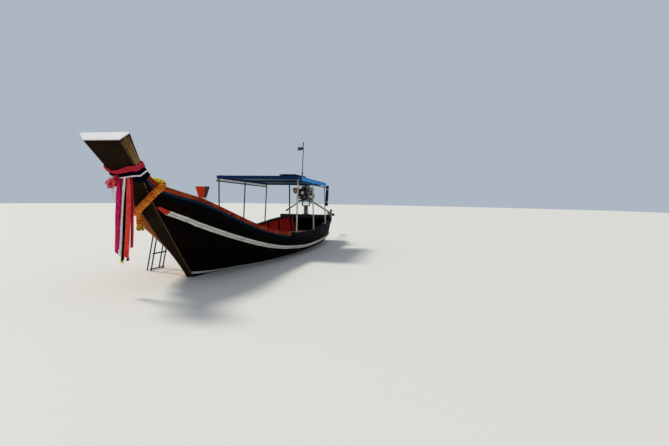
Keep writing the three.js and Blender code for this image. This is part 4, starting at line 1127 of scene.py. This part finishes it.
# %% Sashes
KNOT_Y = -0.15  # the knot sits starboard of the middle of the front face
KNOT_REACH = (0.10, 0.36)  # how far the pull of the knot goes to starboard and to port
RUFFLE = 0.0048
SWELL = 0.006
SASHES = [  # name, satin, how far up, width, stand off, dip at the knot, slope to the back, replaces
    ("sash_crimson", "crimson", 0.447, 0.098, 0.018, 0.072, 0.055, ["sash_wrap"]),
    ("sash_white", "white", 0.308, 0.026, 0.018, 0.044, 0.052, []),
    ("sash_navy", "navy", 0.290, 0.240, 0.010, 0.012, 0.0, []),
]


def prow_corners(length, stand_off):
    """The four corners of the prow's section this far up it, pushed out by stand_off."""
    _, fx, fz, fh, bx, bz, bh = between(PROW_BY_LENGTH, length)
    push = PROW_OUT * stand_off
    fh, bh = fh + stand_off, bh + stand_off
    front = Vector((fx, 0, fz)) + push
    back = Vector((bx, 0, bz)) - push
    return [
        Vector((front.x, -fh, front.z)), Vector((front.x, fh, front.z)),
        Vector((back.x, bh, back.z)), Vector((back.x, -bh, back.z)),
    ]


def around_prow(turn, length, stand_off):
    """A point on the section's outline: turn runs from 0 at the front starboard corner to 1.
    It comes with how far towards the back the point lies, 0 to 1."""
    corners = prow_corners(length, stand_off)
    sides = [(corners[(i + 1) % 4] - corners[i]).length for i in range(4)]
    left = (turn % 1.0) * sum(sides)
    index = 0
    while index < 3 and left > sides[index]:
        left -= sides[index]
        index += 1
    share = left / sides[index]
    behind = (0.0, share, 1.0, 1.0 - share)[index]
    return corners[index].lerp(corners[(index + 1) % 4], share), behind


def sash_band(seed, name, kind, middle, width, stand_off, dip, slope, replaces):
    """One sash round the prow: middle is its distance up the prow at the front corners."""
    outline = [around_prow(i / 64, middle, stand_off)[0] for i in range(65)]
    girth = path_length(outline)

    def place(u, v):
        at, behind = around_prow(u, middle, stand_off)
        reach = KNOT_REACH[0] if at.y < KNOT_Y else KNOT_REACH[1]
        near = max(0.0, 1 - abs(at.y - KNOT_Y) / reach) * (1 - behind)
        near = near * near * (3 - 2 * near)
        length = middle - dip * near - slope * behind + (v - 0.5) * width * (1 - 0.35 * near)
        ruffle = RUFFLE * math.sin(math.tau * (2.0 * v + 0.14 * math.sin(6 * u * math.tau / 4 + seed)))
        swell = SWELL * noise.noise(Vector((u * 9, v * 2.0, seed)))
        flatness = 0.35 if behind > 0 else 1.0
        lift = (ruffle + swell) * flatness * math.sin(math.pi * v) * min(1.0, width / 0.06)
        return around_prow(u, length, stand_off + lift)[0]

    obj = cloth_piece(name, satin[kind], 96, 14, place, (girth, width), "sash_cloth", replaces)


for seed, sash in enumerate(SASHES, 1):
    sash_band(seed, *sash)
print(len(SASHES), "sashes wound")

# %% [markdown]
# The ends hang from a knot. Each ribbon is a strip with its own spine, width, folds and a
# slanted tip. The bow's loops are strips too, bent out to starboard and back to the knot.

# %% Knot, bow and ribbons
KNOT = Vector((5.796, KNOT_Y, 1.655))
RIBBON_STEP = 0.02
RIBBON_TOP, RIBBON_BEND, RIBBON_UNDER = 1.675, 1.5, 1.2
RIBBONS = [  # name, satin, y at the knot, under it, at the foot, width, height of the foot, x, tip slant
    ("ribbon_magenta", "magenta", -0.120, -0.140, -0.170, 0.064, 0.606, 5.784, 0.02),
    ("ribbon_crimson", "crimson", -0.080, -0.105, -0.128, 0.056, 0.660, 5.776, -0.02),
    ("ribbon_white", "white", -0.030, -0.072, -0.112, 0.052, 0.556, 5.782, 0.03),
    ("ribbon_black", "navy", -0.015, -0.030, -0.062, 0.054, 0.505, 5.772, -0.03),
    ("ribbon_coral", "coral", 0.030, 0.036, -0.004, 0.072, 0.545, 5.784, 0.03),
    ("ribbon_rose", "crimson", 0.074, 0.092, 0.072, 0.050, 0.690, 5.776, -0.02),
    ("ribbon_yellow", "yellow", -0.060, -0.080, -0.096, 0.050, 0.468, 5.764, 0.02),
    ("ribbon_navy", "navy", -0.095, -0.060, 0.004, 0.044, 0.502, 5.766, -0.02),
]
LOOPS = [  # name, satin, which way it points across the boat and up, length, width
    ("bow_upper", "pink", (-0.86, -0.50), 0.185, 0.095),
    ("bow_small", "pink", (-0.98, -0.20), 0.120, 0.060),
    ("bow_lower", "crimson", (-0.62, -0.78), 0.150, 0.070),
    ("bow_back", "coral", (-0.30, -0.95), 0.110, 0.050),
]
LOOP_SHAPE = ((0, 0), (0.4, 1.5), (0.85, 1), (1, 0), (0.8, -0.7), (0.35, -0.5), (0, 0))  # out, bulge
BOW_END = ((0, 0, 0), (0, -0.05, -0.07), (-0.01, -0.07, -0.16), (-0.02, -0.03, -0.31))  # from the knot

for seed, (name, kind, top, under, foot_y, width, foot, x, slant) in enumerate(RIBBONS, 1):
    spine = [(x, top, RIBBON_TOP), (x, (top + under) / 2, RIBBON_BEND), (x, under, RIBBON_UNDER),
             (x, foot_y, foot)]
    strip(name, satin[kind], smooth_path(spine, RIBBON_STEP), width, PORT,
          replaces=["sash_tails"] if seed == 1 else (), turn=0.25 * math.sin(seed * 2.3), narrow=0.6,
          slant=slant, crease=0.012, sway=0.014, seed=seed)

for seed, (name, kind, (across_boat, upwards), length, width) in enumerate(LOOPS):
    point = Vector((0, across_boat, upwards)).normalized()
    bulge = Vector((0.02 + 0.006 * seed, 0, 0))
    spine = [KNOT + point * length * out + bulge * more for out, more in LOOP_SHAPE]
    strip(name, satin[kind], smooth_path(spine, 0.012), width,
          Vector((0, -point.z, point.y)), narrow=0.3, pinched=True, crease=0.008, seed=seed)
bow_end = smooth_path([KNOT + Vector(offset) for offset in BOW_END], 0.015)
strip("bow_end", satin["white"], bow_end, 0.055, PORT, narrow=0.4, crease=0.007, seed=4,
      slant=0.03)

turns = [i / 12 * math.tau for i in range(19)]
wrap = [KNOT + Vector((0.024 * math.cos(t), 0.032 * math.sin(t), 0.004 * t)) for t in turns]
strip("knot", satin["crimson"], wrap, 0.062, Vector((0, 0.35, 1)), crease=0.004,
      cells=6)
print(len(RIBBONS), "ribbons and a bow of", len(LOOPS), "loops")

# %% [markdown]
# ## The garland
# Marigolds are threaded through their middles on a string, one against the next, so from outside
# a garland is a pile of ruffled discs. One flower is a flattened ball with a wavy rim and a few
# dozen faces. Its UV map says how far out a petal lies: the rims keep their colour, and the middles, where
# the flowers press together, get painted shade.

# %% Marigolds
GARLAND_PORT = [
    (5.430, -0.025, 1.642), (5.425, 0.200, 1.641), (5.415, 0.310, 1.622), (5.425, 0.348, 1.575),
    (5.470, 0.306, 1.513), (5.530, 0.247, 1.437), (5.530, 0.150, 1.342), (5.460, 0.014, 1.258),
    (5.400, -0.084, 1.192), (5.330, -0.140, 1.160),
]
GARLAND_STARBOARD = [
    (5.440, -0.020, 1.235), (5.360, -0.120, 1.180), (5.300, -0.190, 1.190), (5.325, -0.266, 1.330),
    (5.365, -0.336, 1.480), (5.400, -0.350, 1.560), (5.425, -0.295, 1.622), (5.430, -0.200, 1.641),
    (5.431, 0.030, 1.638),
]
GARLAND_DROP = [
    (5.330, -0.125, 1.175), (5.285, -0.140, 1.090), (5.250, -0.160, 1.010), (5.200, -0.180, 0.975),
    (5.150, -0.190, 1.010), (5.120, -0.195, 1.120),
]
FLOWER_STEP = 0.0165
TASSEL_PLACE = Vector((5.200, -0.185, 0.930))
TASSEL_FLOWERS = 26


def petal_finish():
    """Orange that differs from flower to flower, yellow at the top and in the tassel, with painted shade
    towards each flower's middle.
    """
    finish = Finish("marigold petals", roughness=0.75, sheen=0.1, specular=0.1)
    own = finish.axis("Y", finish.uv)
    petals = finish.mix(own, (240, 112, 8), (255, 172, 40))
    petals = finish.mix(finish.math("GREATER_THAN", own, 0.86), petals, (206, 62, 8))
    at_top, in_tassel = finish.fade(finish.axis("Z"), 1.60, 1.65), finish.fade(finish.axis("Z"), 0.975, 0.955)
    petals = finish.mix(finish.math("MAXIMUM", at_top, in_tassel), petals, (255, 224, 44))
    # Painted shade: each flower darkens towards its middle, where it presses on the next one.
    rim = finish.fade(finish.axis("X", finish.uv), 0.80, 0.93)
    finish.base(finish.mix(rim, (112, 30, 6), petals))
    finish.relief(finish.cloud(0.006, detail=2.0), 0.003)
    return finish


def flower(bm):
    """A flower head of radius 1 threaded along z: a flat ball with a wavy rim."""
    bmesh.ops.create_uvsphere(bm, u_segments=12, v_segments=5, radius=1.0)
    for vert in bm.verts:
        ripple = 1 + 0.05 * math.sin(5 * math.atan2(vert.co.y, vert.co.x))
        vert.co = (vert.co.x * ripple, vert.co.y * ripple, vert.co.z * 0.3)


def garland(name, path_points, radius, seed, replaces=()):
    chance = random.Random(seed)
    places = [
        (point, along + Vector([chance.uniform(-0.12, 0.12) for _ in range(3)]),
         radius * chance.uniform(0.93, 1.03), chance.random() * math.tau)
        for point, _, _, along in facing(smooth_path(path_points, FLOWER_STEP))
    ]
    copies(name, marigold, FLOWER, places, "flowers", replaces=replaces, smooth=True)
    return len(places)


FLOWER = template(flower)
marigold = petal_finish()
flowers = garland("garland_port", GARLAND_PORT, 0.056, 5, ["garland"])
flowers += garland("garland_starboard", GARLAND_STARBOARD, 0.056, 6)
flowers += garland("garland_drop", GARLAND_DROP, 0.042, 7)

chance = random.Random(8)
tassels = []
for number in range(TASSEL_FLOWERS):
    offset = Vector((chance.uniform(-0.045, 0.045), chance.uniform(-0.06, 0.06), chance.uniform(-0.03, 0.02)))
    spin = chance.random() * math.tau
    tassels.append((TASSEL_PLACE + offset, offset + Vector((0.01, 0, -0.02)), 0.028, spin))
copies("garland_tassels", marigold, FLOWER, tassels, "flowers", smooth=True)
print(flowers, "flowers of", len(FLOWER[1]), "faces, and", TASSEL_FLOWERS, "in the tassel")

# %% [markdown]
# ## Canopy cloth
# The roof's frame carries a navy canvas, and cloth strips hang from its long edges: sky blue to
# port, white to starboard. A strip is a grid that hangs in shallow waves between its nails.

# %% Roof canvas and valances
CANVAS_LIFT = 0.007
ROOF_LENGTH = ROOF_FRONT - ROOF_AFT
WAVE_LENGTH = 0.23


def canvas_place(u, v):
    x = ROOF_AFT + u * ROOF_LENGTH
    _, half, top = between(ROOF, x)
    y = (v - 0.5) * 2 * (half - 0.002)
    slack = 0.004 * abs(math.sin(math.pi * u * 4)) * math.sin(math.pi * v)
    creases = 0.0025 * noise.noise(Vector((x * 2.2, y * 2.2, 0.4)))
    return Vector((x, y, top + CANVAS_LIFT - slack * 0.7 + creases))


def valance(name, finish, side, end, drop, slot, node):
    length = end - ROOF_AFT

    def place(u, v):
        x = ROOF_AFT + u * length
        _, half, top = between(ROOF, x)
        wave = 0.0045 * math.sin(math.tau * u * length / WAVE_LENGTH) * (1 - v) ** 1.5
        scallop = 0.006 * math.cos(math.tau * u * length / WAVE_LENGTH / 2) * (1 - v)
        return Vector((x, side * (half + 0.0045 + wave * 0.7), top - (1 - v) * drop + scallop))

    obj = cloth_piece(name, finish, 120, 8, place, (length, drop), slot, [node])


canvas = cloth_piece("roof_canvas", navy_canvas, 60, 36, canvas_place, (ROOF_LENGTH, 2 * ROOF[0][1]),
                     "navy_cloth")
valance("valance_cloth_port", sky_canvas, 1, 0.600, 0.088, "blue_cloth", "valance_port")
valance("valance_cloth_starboard", dotted_canvas, -1, ROOF_FRONT, 0.112, "white_cloth", "valance_starboard")
print("canvas of", round(sheet_area(canvas), 2), "square metres")

# %% [markdown]
# The flag is a small grid too, white above and blue below. Its wave grows from the mast to the
# free edge.

# %% Flag
BLUE_TO = 2.575
FLAG_WHITE = (236, 238, 244)
flag_low, flag_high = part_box("flag")


def flag_place(u, v):
    y = flag_high.y - u * (flag_high.y - flag_low.y)
    hoist = flag_high.x - 0.002 - v * (flag_high.x - flag_low.x - 0.004)
    wave = 0.012 * math.sin(math.tau * u * 0.9 + 0.6 * v) * u
    droop = 0.02 * u * u
    return Vector((hoist + wave, y, flag_low.z + v * (flag_high.z - flag_low.z) - droop))


flag_size = (flag_high.y - flag_low.y, flag_high.z - flag_low.z)
flag_cloth = cloth("flag cloth", FLAG_WHITE, FLAG_WHITE)
lay_over(flag_cloth, flag_cloth.fade(flag_cloth.axis("Z"), BLUE_TO, BLUE_TO + 0.002, 1, 0), (52, 62, 132))
flag = cloth_piece("flag_waving", flag_cloth, 16, 12, flag_place, flag_size, "white_cloth", ["flag"], 0.001)
print("flag", [round(side, 3) for side in flag_size])

# %% [markdown]
# The tarpaulin on the roof is one long strip folded back and forth, each layer a little shorter
# than the one below. The side curtain is rolled up and tied outside the aft post: a spiral
# strip, with two narrow bands round it.

# %% Folded tarpaulin and rolled curtain
TARP_X = 0.370
TARP_WIDTH = 0.850
TARP_IN, TARP_OUT = 0.512, 0.928
TARP_LAYERS = 5
TARP_STEP = 0.0098
TARP_INSET = 0.008  # the inner end of each layer is drawn in by this, and the outer end by half
TARP_BULGE = 0.006
ROLL_RADIUS = 0.045
ROLL_TURNS = 4.5
ROLL_CORE, ROLL_GROWS = 0.012, 0.030  # radius of the first turn, and what the others add
ROLL_RISE = 0.085  # the cloth goes on up to the roof's edge
TIE_RADIUS = 0.0438

tarp_floor = between(ROOF, TARP_X)[2] + CANVAS_LIFT + 0.004
tarp_rise = (ROOF[1][2] - ROOF[0][2]) / ROOF_LENGTH
tarp_spine = []
for number in range(TARP_LAYERS):
    inset = TARP_INSET * number
    ends = [TARP_IN + inset, TARP_OUT - inset * 0.5]
    if number % 2:
        ends.reverse()
    for share in range(9):
        y = ends[0] + (ends[1] - ends[0]) * share / 8
        sag = 0.0016 * math.sin(share * 1.7 + number * 2.1)
        tarp_spine.append(Vector((TARP_X, y, tarp_floor + number * TARP_STEP + sag)))
    if number < TARP_LAYERS - 1:
        bulge = TARP_BULGE if ends[1] > ends[0] else -TARP_BULGE
        tarp_spine.append(tarp_spine[-1] + Vector((0, bulge, TARP_STEP / 2)))
strip("tarp_folded", navy_canvas, smooth_path(tarp_spine, 0.02), TARP_WIDTH,
      Vector((1, 0, tarp_rise)), "navy_cloth", ["roof_tarp"], 12, thick=0.002)

roll_low, roll_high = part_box("curtain_roll")
roll_lean = Vector((0, roll_high.y - roll_low.y - 2 * ROLL_RADIUS, roll_high.z - roll_low.z)).normalized()
roll_middle = (roll_low + roll_high) / 2 + roll_lean * ROLL_RISE / 2
roll_height = roll_high.z - roll_low.z - 0.02 + ROLL_RISE
roll_other = roll_lean.cross(FORE)


def round_roll(angle, radius):
    return (FORE * math.cos(angle) + roll_other * math.sin(angle)) * radius


steps = round(ROLL_TURNS * 16)
spiral = [roll_middle + round_roll(i / 16 * math.tau, ROLL_CORE + ROLL_GROWS * i / steps)
          for i in range(steps + 1)]
strip("curtain_rolled", navy_canvas, spiral, roll_height, roll_lean,
      "navy_cloth", ["curtain_roll"], 10, thick=0.0018)
for number, share in enumerate((-0.3, 0.32), 1):
    middle = roll_middle + roll_lean * roll_height * share
    band = [middle + round_roll(i / 24 * math.tau, TIE_RADIUS) for i in range(25)]
    strip(f"curtain_tie_{number}", white_canvas, band, 0.016, roll_lean,
          "white_cloth", (), 2, thick=0.0012)
print("tarpaulin of", TARP_LAYERS, "layers, curtain of", ROLL_TURNS, "turns")
